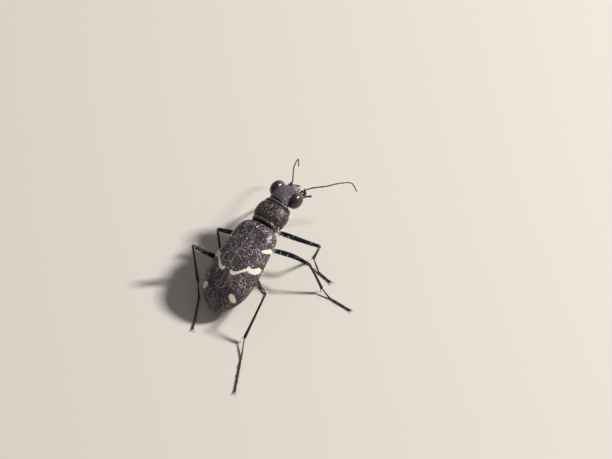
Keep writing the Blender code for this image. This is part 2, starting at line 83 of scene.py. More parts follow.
# %% Camera
camera_data = bpy.data.cameras.new("camera")
camera_data.lens = 150
camera_data.sensor_width = 36
camera_data.clip_start = 0.01
camera_data.clip_end = 10
camera = bpy.data.objects.new("camera", camera_data)
bpy.context.scene.collection.objects.link(camera)
VIEW_BACK = Vector((0.3147, -0.5450, 0.7771))
CAMERA_PLACE = Vector((66.60, -110.07, 166.67))
camera.location = CAMERA_PLACE * MM
camera.rotation_mode = "QUATERNION"
camera.rotation_quaternion = (-VIEW_BACK).to_track_quat("-Z", "Y")
bpy.context.scene.camera = camera
print("camera", round(camera.location.length * 1000), "mm away")

# %% Light and floor


def linear(hex_colour):
    """A colour written as sRGB hex, turned to the linear values that shaders use."""
    values = [int(hex_colour[i:i + 2], 16) / 255 for i in (1, 3, 5)]
    return (*(v / 12.92 if v <= 0.04045 else ((v + 0.055) / 1.055) ** 2.4 for v in values), 1.0)


def add_node(tree, kind, settings=None, links=None):
    """Adds a node. Settings are its options or input values, and links feed its inputs."""
    node = tree.nodes.new(kind)
    for key, value in (settings or {}).items():
        if isinstance(key, int) or (key in node.inputs and not hasattr(node, key)):
            node.inputs[key].default_value = value
        else:
            setattr(node, key, value)
    for key, source in (links or {}).items():
        tree.links.new(source, node.inputs[key])
    return node


def soft_lamp(name, place, aim, size, power):
    """A square soft lamp, in metres, turned to its aim."""
    data = bpy.data.lights.new(name, "AREA")
    data.size = size
    data.energy = power
    lamp = bpy.data.objects.new(name, data)
    bpy.context.scene.collection.objects.link(lamp)
    lamp.location = place
    lamp.rotation_mode = "QUATERNION"
    lamp.rotation_quaternion = (Vector(aim) - Vector(place)).to_track_quat("-Z", "Y")
    return lamp


# Places and sizes are in metres, and powers in watts.
key_lamp = soft_lamp("key_lamp", (0.26, 0.24, 0.27), (0, 0, 0), size=0.06, power=3.1)
side_lamp = soft_lamp("side_lamp", (-0.35, 0.05, 0.30), (0, 0, 0), size=0.25, power=0.06)

world = bpy.data.worlds.new("studio")
bpy.context.scene.world = world
world.use_nodes = True
world.node_tree.nodes["Background"].inputs["Color"].default_value = linear("#e9edf2")
world.node_tree.nodes["Background"].inputs["Strength"].default_value = 0.2
bpy.context.scene.view_settings.view_transform = "Standard"

bpy.ops.mesh.primitive_plane_add(size=1.2, location=(0, 0, 0))
floor = bpy.context.object
floor.name = "floor"
# Matt pale paper scatters the light evenly, so that dark legs and their shadows stand out on it.
paper = bpy.data.materials.new("matt_pale_paper")
paper.use_nodes = True
paper.node_tree.nodes["Principled BSDF"].inputs["Base Color"].default_value = linear("#d6cdc2")
paper.node_tree.nodes["Principled BSDF"].inputs["Roughness"].default_value = 0.95
paper.node_tree.nodes["Principled BSDF"].inputs["Specular IOR Level"].default_value = 0.2
floor.data.materials.append(paper)
print("lamps", [lamp.name for lamp in (key_lamp, side_lamp)])

# %% [markdown]
# ## What insect skin looks like
# A beetle's skin is cuticle, a stiff natural laminate that is grown, hardened and darkened. Its top
# layers split light like an oil film, so brown-black plates flash copper, green or violet where they face
# the light. The finish is therefore a dark base with a half-metallic sheen. Pits and wrinkles break up
# the gloss, painted shade darkens the pits, and small flecks of other colours sit between them. One
# recipe makes all the dark finishes, with the sizes of pits and flecks given in millimetres. The real
# pits are 0.05 to 0.1 mm across. They are drawn at 0.08 to 0.14 mm, or they would vanish in a picture
# of the whole beetle.

# %% The cuticle recipe


def place_in_mm(tree, body=STANCE):
    """The place on the object in millimetres, measured in a body part's own frame."""
    spot = add_node(tree, "ShaderNodeTexCoord")
    turn = body.to_euler("XYZ")
    mapping = add_node(
        tree, "ShaderNodeMapping",
        {"vector_type": "TEXTURE", 1: body.translation * MM, 2: turn, 3: (MM, MM, MM)},
        {0: spot.outputs["Object"]},
    )
    return mapping.outputs[0]


def noise(tree, here, scale, detail=2.0):
    """Soft clouds, with so many to the millimetre."""
    return add_node(tree, "ShaderNodeTexNoise", {"Scale": scale, "Detail": detail}, {"Vector": here})


def product(tree, first, second):
    """The product of two values."""
    return add_node(tree, "ShaderNodeMath", {"operation": "MULTIPLY"}, {0: first, 1: second}).outputs[0]


def ramp(tree, value, low, high, start=0.0, end=1.0):
    """Goes from start to end while a value goes from low to high, and stays level outside."""
    settings = {"From Min": low, "From Max": high, "To Min": start, "To Max": end}
    return add_node(tree, "ShaderNodeMapRange", settings, {"Value": value}).outputs[0]


def smooth_step(tree, value, low, high):
    """Goes from 0 to 1 while a value goes from low to high, with soft ends."""
    settings = {"interpolation_type": "SMOOTHSTEP", "From Min": low, "From Max": high}
    return add_node(tree, "ShaderNodeMapRange", settings, {"Value": value}).outputs[0]


def blend(tree, share, first, second):
    """Mixes two colours, each in hex or from another node, by a share."""
    settings = {"data_type": "RGBA"}
    links = {0: share}
    for socket, colour in ((6, first), (7, second)):
        if isinstance(colour, str):
            settings[socket] = linear(colour)
        else:
            links[socket] = colour
    return add_node(tree, "ShaderNodeMix", settings, links).outputs[2]


def lay_colour(material, share, colour):
    """Lays a colour over a finish wherever the share says."""
    tree = material.node_tree
    base = tree.nodes["Principled BSDF"].inputs["Base Color"]
    tree.links.new(blend(tree, share, base.links[0].from_socket, colour), base)


def cuticle(name, body, dark, light, flecks, fleck_share, pit, pit_depth, roughness, metallic, mottle):
    """Insect skin with pits darkened by painted shade, pale clouds of given sizes in mm, and scattered flecks
    that stand for metallic flecks and, on some finishes, for painted glints.

    The two values of roughness are those of the pale walls and of the dark pits between them.
    """
    material = bpy.data.materials.new(name)
    material.use_nodes = True
    tree = material.node_tree
    shader = tree.nodes["Principled BSDF"]
    here = place_in_mm(tree, body)
    # Slightly bent places keep the pits from lying in rows.
    wander = noise(tree, here, 1.3 / pit * 0.3)
    bent = add_node(tree, "ShaderNodeVectorMath", {"operation": "MULTIPLY_ADD", 1: (pit * 1.2,) * 3},
                    {0: wander.outputs["Color"], 2: here})
    cells = add_node(tree, "ShaderNodeTexVoronoi", {"feature": "F1", "Scale": 1 / pit},
                     {"Vector": bent.outputs[0]})
    wall = smooth_step(tree, cells.outputs["Distance"], 0.12, 0.5)
    # Painted shade darkens the pits, so the walls between them are palest, and the walls differ from grain to
    # grain and from cloud to cloud.
    cloud = noise(tree, here, 1 / mottle, 3.0)
    grain = noise(tree, here, 1 / (pit * 0.45), 3.0)
    lift = product(tree, wall, grain.outputs[0])
    shade = add_node(tree, "ShaderNodeMath", {"operation": "MULTIPLY_ADD", 2: -0.28},
                     {0: cloud.outputs[0], 1: lift})
    boosted = add_node(tree, "ShaderNodeMath", {"operation": "MULTIPLY_ADD", 1: 1.1, "use_clamp": True},
                       {0: lift, 2: shade.outputs[0]})
    skin_colour = blend(tree, boosted.outputs[0], dark, light)
    # Each cell of a finer pattern draws its own lot, and the winners carry a fleck at their middle.
    lots = add_node(tree, "ShaderNodeTexVoronoi", {"feature": "F1", "Scale": 1 / (pit * 0.68)},
                    {"Vector": bent.outputs[0]})
    lot = add_node(tree, "ShaderNodeSeparateColor", None, {0: lots.outputs["Color"]})
    wins = ramp(tree, lot.outputs[0], 1 - fleck_share, 1 - fleck_share * 0.5)
    centre = ramp(tree, lots.outputs["Distance"], 0.58, 0.28)
    spread = ramp(tree, cloud.outputs[0], 0.38, 0.58, start=0.2)
    fleck = product(tree, product(tree, wins, centre), spread)
    fleck_colour = blend(tree, ramp(tree, lot.outputs[1], 0.42, 0.58), flecks[0], flecks[1])
    colour = blend(tree, fleck, skin_colour, fleck_colour)
    rough = ramp(tree, boosted.outputs[0], 0.0, 1.0, roughness[1], roughness[0])
    height = add_node(tree, "ShaderNodeMath", {"operation": "MULTIPLY_ADD", 1: 0.35},
                      {0: grain.outputs[0], 2: wall})
    bump = add_node(tree, "ShaderNodeBump", {"Strength": 1.0, "Distance": pit_depth * MM},
                    {"Height": height.outputs[0]})
    tree.links.new(colour, shader.inputs["Base Color"])
    tree.links.new(rough, shader.inputs["Roughness"])
    tree.links.new(bump.outputs[0], shader.inputs["Normal"])
    shader.inputs["Metallic"].default_value = metallic
    return material


print("the cuticle recipe is ready")

# %% [markdown]
# ## Hands for the modelling tools
# The tools of edit mode act on all that is selected. These few helpers clear the selection, enter edit
# mode on one piece, and select its points by their place. A finished piece gets its modifiers applied,
# and its mesh moves into the beetle's frame while its object stays at the origin, unturned and unscaled.

# %% Selection and modifiers


def clear_selection():
    """Back to object mode with nothing selected."""
    if bpy.context.object and bpy.context.object.mode != "OBJECT":
        bpy.ops.object.mode_set(mode="OBJECT")
    bpy.ops.object.select_all(action="DESELECT")


def edit(piece):
    """Edit mode on one piece, with nothing of it selected."""
    clear_selection()
    bpy.context.view_layer.objects.active = piece
    piece.select_set(True)
    bpy.ops.object.mode_set(mode="EDIT")
    bpy.ops.mesh.select_mode(type="VERT")
    bpy.ops.mesh.select_all(action="DESELECT")


def choose(piece, test):
    """In edit mode, selects the points whose place passes a test, and says how many there are."""
    bpy.ops.mesh.select_all(action="DESELECT")
    mesh = bmesh.from_edit_mesh(piece.data)
    chosen = [vert for vert in mesh.verts if test(vert.co)]
    for vert in chosen:
        vert.select = True
    mesh.select_flush(True)
    bmesh.update_edit_mesh(piece.data)
    return len(chosen)


def leave_edit():
    """Back to object mode, with the edited mesh stored."""
    bpy.ops.object.mode_set(mode="OBJECT")


def points_of(piece):
    """The places of a mesh's points, one to a row."""
    places = np.empty(len(piece.data.vertices) * 3)
    piece.data.vertices.foreach_get("co", places)
    return places.reshape(-1, 3)


def modify(piece, kind, **settings):
    """Adds a modifier with its settings and applies it."""
    clear_selection()
    bpy.context.view_layer.objects.active = piece
    piece.select_set(True)
    modifier = piece.modifiers.new(kind.lower(), kind)
    for key, value in settings.items():
        setattr(modifier, key, value)
    bpy.ops.object.modifier_apply(modifier=modifier.name)


def smooth_form(piece, levels):
    """Subdivision surface, with as many levels in the view as in the render."""
    modify(piece, "SUBSURF", levels=levels, render_levels=levels)


def join_pieces(name, pieces):
    """Joins pieces into the first of them and names it."""
    clear_selection()
    for piece in pieces:
        piece.select_set(True)
    bpy.context.view_layer.objects.active = pieces[0]
    if len(pieces) > 1:
        bpy.ops.object.join()
    pieces[0].name = name
    return pieces[0]


def settle(piece, body, material, slot, *nodes, angle=40):
    """Moves a finished piece into its body part's frame, in metres, with finish, body and node."""
    clear_selection()
    piece.data.transform(Matrix.Scale(MM, 4) @ body @ piece.matrix_world)
    piece.matrix_world = Matrix.Identity(4)
    bpy.context.view_layer.objects.active = piece
    piece.select_set(True)
    bpy.ops.object.shade_smooth_by_angle(angle=math.radians(angle))
    if material is not None:
        piece.data.materials.clear()
        piece.data.materials.append(material)
    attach(piece, "root")
    if nodes:
        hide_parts(*nodes)
    print(piece.name, len(piece.data.polygons), "faces")
    return piece


# %% [markdown]
# ## Forms from rings
# Most of a beetle is round in section and changes slowly along its length, like a boat hull. Such a form
# starts as a disc: a circle is added at the first station, made a little squarer, and its face is
# extruded from station to station. Then each ring is sized to its own width, top and bottom.

# %% Rings along a body
# A point counts as on a ring, or on the middle plane, when it is less than this many mm off.
ON_RING = 0.0015
ON_PLANE = 0.001


def power(value, exponent):
    """A power that keeps the sign of its value."""
    return math.copysign(abs(value) ** exponent, value)


def ring_form(name, rings, sides=24, roundness=2.3, levels=2):
    """A closed form along Y through rings given as (y, half-width, top, bottom), in millimetres."""
    clear_selection()
    bpy.ops.mesh.primitive_circle_add(vertices=sides, radius=1, fill_type="NGON",
                                      location=(0, rings[0][0], 0), rotation=(math.radians(90), 0, 0))
    piece = bpy.context.object
    piece.name = name
    bpy.ops.object.transform_apply()
    for vert in piece.data.vertices:
        vert.co.x = power(vert.co.x, 2 / roundness)
        vert.co.z = power(vert.co.z, 2 / roundness)
    edit(piece)
    bpy.ops.mesh.select_all(action="SELECT")
    for before, here in zip(rings, rings[1:]):
        bpy.ops.mesh.extrude_region_move(TRANSFORM_OT_translate={"value": (0, here[0] - before[0], 0)})
    for y, half_width, top, bottom in rings:
        centre = (0, y, 0)
        choose(piece, lambda co: abs(co.y - y) < ON_RING)
        bpy.ops.transform.resize(value=(half_width, 1, 1), center_override=centre)
        choose(piece, lambda co: abs(co.y - y) < ON_RING and co.z > ON_PLANE)
        bpy.ops.transform.resize(value=(1, 1, top), center_override=centre)
        choose(piece, lambda co: abs(co.y - y) < ON_RING and co.z < -ON_PLANE)
        bpy.ops.transform.resize(value=(1, 1, bottom), center_override=centre)
    bpy.ops.mesh.select_all(action="SELECT")
    bpy.ops.mesh.normals_make_consistent(inside=False)
    leave_edit()
    if levels:
        smooth_form(piece, levels)
    return piece


def round_rings(*stations):
    """Rings of a round form, from pairs of y and radius."""
    return [(y, radius, radius, radius) for y, radius in stations]


def oval(name, centre, radii, segments, rings, tilt=0):
    """A sphere that is stretched to its radii and moved to its centre."""
    clear_selection()
    bpy.ops.mesh.primitive_uv_sphere_add(segments=segments, ring_count=rings, radius=1,
                                         location=(0, 0, 0), rotation=(0, math.radians(tilt), 0))
    piece = bpy.context.object
    piece.name = name
    bpy.ops.object.transform_apply()
    edit(piece)
    bpy.ops.mesh.select_all(action="SELECT")
    bpy.ops.transform.resize(value=radii)
    bpy.ops.transform.translate(value=centre)
    leave_edit()
    return piece


def between_stations(profile, y):
    """The sizes of a profile at a place between its stations, on a smooth curve."""
    rows = sorted(profile)
    y = min(max(y, rows[0][0]), rows[-1][0])
    last = len(rows) - 1
    i = next(k for k in range(last) if rows[k + 1][0] >= y)
    span = rows[i + 1][0] - rows[i][0]
    t = (y - rows[i][0]) / span
    sizes = []
    for k in range(1, len(rows[0])):
        slopes = []
        for j in (i, i + 1):
            a, b = rows[max(j - 1, 0)], rows[min(j + 1, last)]
            slopes.append((b[k] - a[k]) / (b[0] - a[0]))
        sizes.append(rows[i][k] * (2 * t**3 - 3 * t**2 + 1) + slopes[0] * span * (t**3 - 2 * t**2 + t)
                     + rows[i + 1][k] * (3 * t**2 - 2 * t**3) + slopes[1] * span * (t**3 - t**2))
    return sizes


def pull(piece, spots):
    """Pulls the nearest point of a mesh, and with it the skin around: each spot is (place, pull, reach)."""
    edit(piece)
    for place, shift, reach in spots:
        place = Vector(place)
        near = min((vert.co - place).length for vert in bmesh.from_edit_mesh(piece.data).verts) + 0.0001
        choose(piece, lambda co: (co - place).length <= near)
        bpy.ops.transform.translate(value=shift, use_proportional_edit=True,
                                    proportional_edit_falloff="SMOOTH", proportional_size=reach)
    leave_edit()


def roughen(piece, size, depth, group=""):
    """Displaces a skin along its normals by a pattern of cells that are size mm across."""
    texture = bpy.data.textures.new(piece.name + "_cells", "VORONOI")
    texture.noise_scale = size
    modify(piece, "DISPLACE", texture=texture, texture_coords="LOCAL", strength=depth, mid_level=0.5,
           vertex_group=group)


print("forms can now be made from rings")

# %% [markdown]
# ## Wing cases
# The two wing cases are the hardened front wings. They close over the back along a straight seam and form
# a long dome, widest behind the middle. Each is a curved sheet of even thickness with a rim turned under
# at the side. A quarter circle of points is extruded from the shoulders to the tip, each row is sized to
# the dome, the rim is folded down, and the sheet is then given its thickness and smoothed. Pits are
# pressed in last.

# %% The dome's sizes
# (mm ahead of the scutellum, half-width of both cases, height of the seam over the side margin)
CASE_PROFILE = (
    (0.42, 0.92, 0.62), (0.32, 1.14, 0.78), (0.14, 1.42, 0.94), (-0.10, 1.68, 1.08), (-0.44, 1.84, 1.21),
    (-0.98, 1.90, 1.33), (-2.15, 2.00, 1.52), (-3.52, 2.13, 1.68), (-4.80, 2.16, 1.66), (-5.87, 1.97, 1.42),
    (-6.76, 1.54, 1.03), (-7.44, 0.92, 0.58), (-7.83, 0.22, 0.18),
)
CASE_ROWS = (0.42, 0.37, 0.28, 0.14, 0.0, -0.2, -0.5, -0.85, -1.3, -1.9, -2.6, -3.3, -4.0, -4.7, -5.4, -6.0,
             -6.5, -6.9, -7.25, -7.5, -7.7, -7.83)
# Roundness 2 is a circle, and more is squarer.
CASE_ROUNDNESS = 2.35
CASE_THICKNESS = 0.07
# The rim turns under in two steps of mm inwards and mm down.
RIM_STEPS = ((0.05, 0.08), (0.10, 0.12))
RIM_LIFT = 0.2
FULL_RIM_WIDTH = 1.2
SEAM_GAP = 0.012
ARC_POINTS = 12


def wing_case(side):
    """One wing case, side 1 for the right one, as a sheet with thickness."""
    label = "right" if side > 0 else "left"
    clear_selection()
    bpy.ops.mesh.primitive_circle_add(vertices=4 * ARC_POINTS, radius=1, fill_type="NOTHING",
                                      location=(0, CASE_ROWS[0], 0), rotation=(math.radians(90), 0, 0))
    case = bpy.context.object
    case.name = "elytron_" + label
    bpy.ops.object.transform_apply()
    edit(case)
    choose(case, lambda co: co.z < -ON_PLANE or co.x * side < -ON_PLANE)
    bpy.ops.mesh.delete(type="VERT")
    leave_edit()
    for vert in case.data.vertices:
        vert.co.x = power(vert.co.x, 2 / CASE_ROUNDNESS)
        vert.co.z = power(max(vert.co.z, 0.0), 2 / CASE_ROUNDNESS)
    edit(case)
    bpy.ops.mesh.select_all(action="SELECT")
    for before, here in zip(CASE_ROWS, CASE_ROWS[1:]):
        bpy.ops.mesh.extrude_region_move(TRANSFORM_OT_translate={"value": (0, here - before, 0)})
    for y in CASE_ROWS:
        half_width, height = between_stations(CASE_PROFILE, y)
        choose(case, lambda co: abs(co.y - y) < ON_RING)
        bpy.ops.transform.resize(value=(half_width, 1, height), center_override=(0, y, 0))
    choose(case, lambda co: abs(co.z) < ON_PLANE)
    for inwards, down in RIM_STEPS:
        bpy.ops.mesh.extrude_region_move(TRANSFORM_OT_translate={"value": (-side * inwards, 0, -down)})
    # The rim is lifted where the cases are narrow, so that it fades out at shoulder and tip.
    for y in CASE_ROWS:
        half_width = between_stations(CASE_PROFILE, y)[0]
        lift = RIM_LIFT * (1 - min(1.0, half_width / FULL_RIM_WIDTH))
        choose(case, lambda co: abs(co.y - y) < ON_RING and co.z < -0.1)
        bpy.ops.transform.translate(value=(0, 0, lift))
    choose(case, lambda co: abs(co.x) < ON_PLANE)
    bpy.ops.transform.translate(value=(side * SEAM_GAP, 0, 0))
    bpy.ops.mesh.select_all(action="SELECT")
    bpy.ops.mesh.normals_make_consistent(inside=False)
    leave_edit()
    # A sheet has no inside, so the side that its faces point to is set from one face on the back.
    back = max(case.data.polygons, key=lambda face: face.center.z)
    if back.normal.z < 0:
        case.data.flip_normals()
    # The shoulder bulges, the back sinks a little beside the seam, and the corner by the scutellum lifts.
    pull(case, [
        ((side * 1.42, -0.75, 0.95), (0, 0, 0.13), 0.75),
        ((side * 0.75, -1.25, 1.30), (0, 0, -0.09), 0.80),
        ((side * 0.75, 0.05, 0.95), (0, 0, 0.05), 0.35),
    ])
    modify(case, "SOLIDIFY", thickness=CASE_THICKNESS, offset=-1)
    smooth_form(case, 3)
    return case


CASES = {"right": wing_case(1), "left": wing_case(-1)}
print("wing cases", [len(case.data.vertices) for case in CASES.values()], "points")

# %% [markdown]
# ### Pits and marks
# A displacement by a cell pattern presses in the pits. The cream marks are places where the skin stays
# without pigment. Each mark is a stroke: a line of places on the right wing case, each with the half-
# width of the stroke there. The mesh stores at every point how far inside a stroke it is, so the edge of
# a mark can be drawn crisply at any distance, and a little noise makes it ragged, as real pigment edges
# are. The left wing case mirrors it.

# %% Where the cream marks are
# (mm to the side of the seam, mm ahead of the scutellum, half-width)
CREAM_MARKS = (
    ((1.58, -1.76, 0.09), (1.74, -1.62, 0.13), (1.84, -1.44, 0.12), (1.90, -1.24, 0.07)),
    ((1.99, -3.10, 0.08), (1.93, -3.34, 0.15), (1.80, -3.60, 0.21), (1.62, -3.66, 0.20), (1.42, -3.52, 0.12)),
    ((1.50, -3.62, 0.14), (1.30, -3.84, 0.10), (1.08, -4.10, 0.09), (0.85, -4.36, 0.12), (0.60, -4.53, 0.16),
     (0.42, -4.54, 0.14), (0.34, -4.42, 0.10)),
    ((1.29, -6.26, 0.24), (1.38, -6.34, 0.25)),
)


def inside_marks(places):
    """How many mm inside the nearest mark each place (x, y) lies, below zero outside."""
    best = np.full(len(places), -1.0)
    for stroke in CREAM_MARKS:
        for start, end in zip(stroke, stroke[1:]):
            a, b = np.array(start), np.array(end)
            way = b[:2] - a[:2]
            share = np.clip((places - a[:2]) @ way / (way @ way), 0, 1)
            gap = np.linalg.norm(places - (a[:2] + share[:, None] * way), axis=1)
            best = np.maximum(best, a[2] + (b[2] - a[2]) * share - gap)
    return best


# Pits are deepest beside the seam, fade towards the sides, and are missing in the marks and on the rim.
for case in CASES.values():
    places = points_of(case)
    depth = inside_marks(np.column_stack((np.abs(places[:, 0]), places[:, 1])))
    stored = case.data.attributes.new("cream_depth", "FLOAT", "POINT")
    stored.data.foreach_set("value", depth.astype(np.float32))
    pitted = case.vertex_groups.new(name="pitted")
    arch = 1 - np.abs(places[:, 0]) / 2.2
    for index in np.nonzero((places[:, 2] > 0.12) & (depth < 0.0))[0]:
        pitted.add([int(index)], float(min(1.0, 0.45 + arch[index])), "REPLACE")
    roughen(case, 0.17, 0.030, "pitted")
    print(case.name, "points inside marks:", int((depth > 0).sum()))

# %% The wing cases' finish
# The real wing case is thick, almost black cuticle under a film of copper and pale violet. Its pits hold
# painted shade, and its flecks stand partly for copper flecks of the skin and partly for painted glints.
elytra_skin = cuticle("pitted_wing_case_cuticle", HIND, dark="#120c10", light="#5c5056",
                      flecks=("#c9a593", "#e2d8dc"), fleck_share=0.62, pit=0.14, pit_depth=0.035,
                      roughness=(0.28, 0.5), metallic=0.30, mottle=0.9)
tree = elytra_skin.node_tree
here = place_in_mm(tree, HIND)
axes = add_node(tree, "ShaderNodeSeparateXYZ", None, {0: here})
aside = add_node(tree, "ShaderNodeMath", {"operation": "ABSOLUTE"}, {0: axes.outputs[0]})
# The turned rim is dark red-brown, and a painted highlight makes the edges along the seam pale.
lay_colour(elytra_skin, ramp(tree, axes.outputs[2], 0.16, -0.02, end=0.75), "#3a2226")
lay_colour(elytra_skin, ramp(tree, aside.outputs[0], 0.10, 0.05, end=0.6), "#94868a")
ragged = noise(tree, here, 9.0)
mark_depth = add_node(tree, "ShaderNodeAttribute", {"attribute_name": "cream_depth"})
shifted = add_node(tree, "ShaderNodeMath", {"operation": "MULTIPLY_ADD", 1: 0.11},
                   {0: ragged.outputs[0], 2: mark_depth.outputs["Fac"]})
in_mark = smooth_step(tree, shifted.outputs[0], 0.040, 0.075)
# Skin without pigment is cream and doesn't shine like metal.
lay_colour(elytra_skin, in_mark, blend(tree, noise(tree, here, 14.0).outputs[0], "#d9c7a6", "#f6ecd6"))
tree.links.new(ramp(tree, in_mark, 0.0, 1.0, 0.30, 0.0), tree.nodes["Principled BSDF"].inputs["Metallic"])

settle(CASES["right"], HIND, elytra_skin, "wing_case", "wing_case_right")
settle(CASES["left"], HIND, elytra_skin, "wing_case", "wing_case_left")

# %% [markdown]
# ## Scutellum
# Between the shoulders of the wing cases sits a small triangle, the end of the middle body's back plate.
# It starts as a three-sided disc that is stretched to its outline, inset for a raised rim, and laid along
# the dome.

# %% Scutellum
clear_selection()
bpy.ops.mesh.primitive_circle_add(vertices=3, radius=0.44, fill_type="NGON", location=(0, 0.12, 0),
                                  rotation=(0, 0, math.radians(180)))
scutellum = bpy.context.object
scutellum.name = "scutellum_plate"
bpy.ops.object.transform_apply()
edit(scutellum)
bpy.ops.mesh.select_all(action="SELECT")
bpy.ops.transform.resize(value=(0.95, 1.15, 1.0), center_override=(0, 0.12, 0))
bpy.ops.mesh.inset(thickness=0.06, depth=-0.015)
bpy.ops.mesh.inset(thickness=0.05, depth=0.03)
bpy.ops.mesh.poke()
leave_edit()
for vert in scutellum.data.vertices:
    vert.co.z += between_stations(CASE_PROFILE, vert.co.y)[1] + 0.05
modify(scutellum, "SOLIDIFY", thickness=0.12, offset=-1)
modify(scutellum, "BEVEL", width=0.02, segments=2)
smooth_form(scutellum, 2)

# The real neck shield is bronze-black and finely wrinkled. Copper and olive flecks give the eye a dull gleam.
body_skin = cuticle("wrinkled_bronze_cuticle", FORE, dark="#110c0d", light="#4e4246",
                    flecks=("#c99a90", "#a3a878"), fleck_share=0.6, pit=0.12, pit_depth=0.035,
                    roughness=(0.25, 0.5), metallic=0.4, mottle=0.45)
tree = body_skin.node_tree
axes = add_node(tree, "ShaderNodeSeparateXYZ", None, {0: place_in_mm(tree, FORE)})
upper = ramp(tree, axes.outputs[2], 0.2, 0.6)
BAND_SOFTNESS = 0.05
# (rear edge and front edge in mm ahead of the waist, share of the colour, colour of the painted shade or
# highlight)
SHIELD_SHADE_AND_HIGHLIGHT_BANDS = ((1.98, 2.17, 0.85, "#0c0809"), (0.38, 0.54, 0.8, "#0c0809"),
                (0.14, 0.28, 0.16, "#b58d86"), (2.27, 2.30, 0.3, "#a39a9c"))


def band(low, high, share):
    """How much of a crosswise band of painted shade or highlight on the neck shield's back lies here."""
    rise = ramp(tree, axes.outputs[1], low - BAND_SOFTNESS, low, end=share)
    fall = ramp(tree, axes.outputs[1], high + BAND_SOFTNESS, high)
    return product(tree, product(tree, rise, fall), upper)


# Painted shade makes both grooves nearly black, and painted highlights make the rims behind and ahead of them
# shine like brass.
for low, high, share, colour in SHIELD_SHADE_AND_HIGHLIGHT_BANDS:
    lay_colour(body_skin, band(low, high, share), colour)
settle(scutellum, HIND, body_skin, "body_plate", "scutellum")

# %% [markdown]
# ## Neck shield
# Behind the head sits the pronotum, one hard ring that carries the front legs. From above it is a rounded
# barrel between two raised rims. A deep groove runs behind the front rim, another before the rear one,
# and a fine line joins them along the middle. The form is drawn from rings, set close where a groove is,
# and a displacement then presses in the wrinkles.

# %% Neck shield
SHIELD_RINGS = (
    (0.10, 0.95, 0.68, 0.58), (0.14, 1.12, 0.86, 0.72), (0.22, 1.18, 0.90, 0.79), (0.28, 1.20, 0.91, 0.80),
    (0.35, 1.205, 0.90, 0.81), (0.43, 1.20, 0.875, 0.82), (0.51, 1.22, 0.88, 0.83), (0.60, 1.29, 0.93, 0.88),
    (0.78, 1.37, 1.01, 0.92), (1.05, 1.44, 1.07, 0.94), (1.30, 1.46, 1.10, 0.95), (1.55, 1.43, 1.10, 0.94),
    (1.80, 1.37, 1.07, 0.92), (1.95, 1.29, 1.01, 0.88), (2.05, 1.20, 0.90, 0.85), (2.13, 1.19, 0.87, 0.83),
    (2.21, 1.23, 0.92, 0.82), (2.29, 1.23, 0.93, 0.80), (2.36, 1.17, 0.87, 0.76), (2.42, 1.00, 0.76, 0.67),
)
shield = ring_form("neck_shield", SHIELD_RINGS, sides=36, levels=3)
edit(shield)
middle_line = choose(shield, lambda co: abs(co.x) < 0.03 and co.z > 0 and 0.55 < co.y < 1.95)
bpy.ops.transform.translate(value=(0, 0, -0.03), use_proportional_edit=True, proportional_size=0.06)
leave_edit()
roughen(shield, 0.16, 0.030)
print("points along the middle line:", middle_line)
settle(shield, FORE, body_skin, "body_plate", "pronotum")

# %% [markdown]
# ## Head
# A tiger beetle hunts by sight, so its head is mostly eyes: the skull is a short wedge between two domes
# that stand out past the neck shield. Above each eye the skull rises to a brow, and between the brows it
# is hollow and finely wrinkled. Sizes between the measured stations come from a smooth curve. The brows
# and the hollow are pulled out of the coarse mesh, so that the smoothing blends them in.

# %% Skull
SKULL_STATIONS = (
    (-0.75, 0.70, 0.50, 0.50), (-0.40, 0.90, 0.68, 0.62), (0.00, 0.94, 0.74, 0.70), (0.35, 0.88, 0.73, 0.72),
    (0.75, 0.84, 0.66, 0.72), (1.10, 0.78, 0.52, 0.68), (1.38, 0.70, 0.34, 0.58), (1.50, 0.60, 0.24, 0.48),
)
skull_rings = [(y, *between_stations(SKULL_STATIONS, y)) for y in np.arange(-0.75, 1.51, 0.125)]
skull = ring_form("skull", skull_rings, sides=32, levels=0)
pull(skull, [((side * 0.72, y, 0.55), (side * 0.06, 0, rise), 0.38)
             for side in (-1, 1) for y, rise in ((0.15, 0.08), (0.55, 0.17))])
pull(skull, [((0, 0.45, 0.72), (0, 0, -0.07), 0.45), ((0, 1.05, 0.54), (0, 0, -0.05), 0.25)])
smooth_form(skull, 3)
roughen(skull, 0.14, 0.028)
# The real skull is finely striped and greyer than the back. It looks like dull pewter between the eyes.
skull_skin = cuticle("striate_head_cuticle", HEAD, dark="#1a1417", light="#7b6f75",
                     flecks=("#b9a29d", "#716a82"), fleck_share=0.5, pit=0.10, pit_depth=0.03,
                     roughness=(0.3, 0.5), metallic=0.3, mottle=0.45)
settle(skull, HEAD, skull_skin, "body_plate", "head")

# %% [markdown]
# ## Eyes
# Each eye is a dome of some thousands of lenses, each 0.02 to 0.03 mm across, which gives it a soft, waxy
# gloss over a dark brown depth. The lenses are drawn two to three times as coarse so that they still
# show. The dome is a sphere that is stretched to the eye's width, length and height, with its inner side
# sunk into the skull.

# %% Eyes
EYE_PLACE = (1.00, 0.50, 0.10)
EYE_RADII = (0.56, 0.76, 0.70)
# The real lens is clear brown horn. A thin coat gives the eye its wet gloss, and a painted reflection makes
# the top and front greyer.
eye_skin = cuticle("faceted_eye_lens", HEAD, dark="#150805", light="#452112",
                   flecks=("#5c2d1c", "#35201a"), fleck_share=0.2, pit=0.06, pit_depth=0.006,
                   roughness=(0.16, 0.3), metallic=0.0, mottle=0.7)
tree = eye_skin.node_tree
here = place_in_mm(tree, HEAD)
axes = add_node(tree, "ShaderNodeSeparateXYZ", None, {0: here})
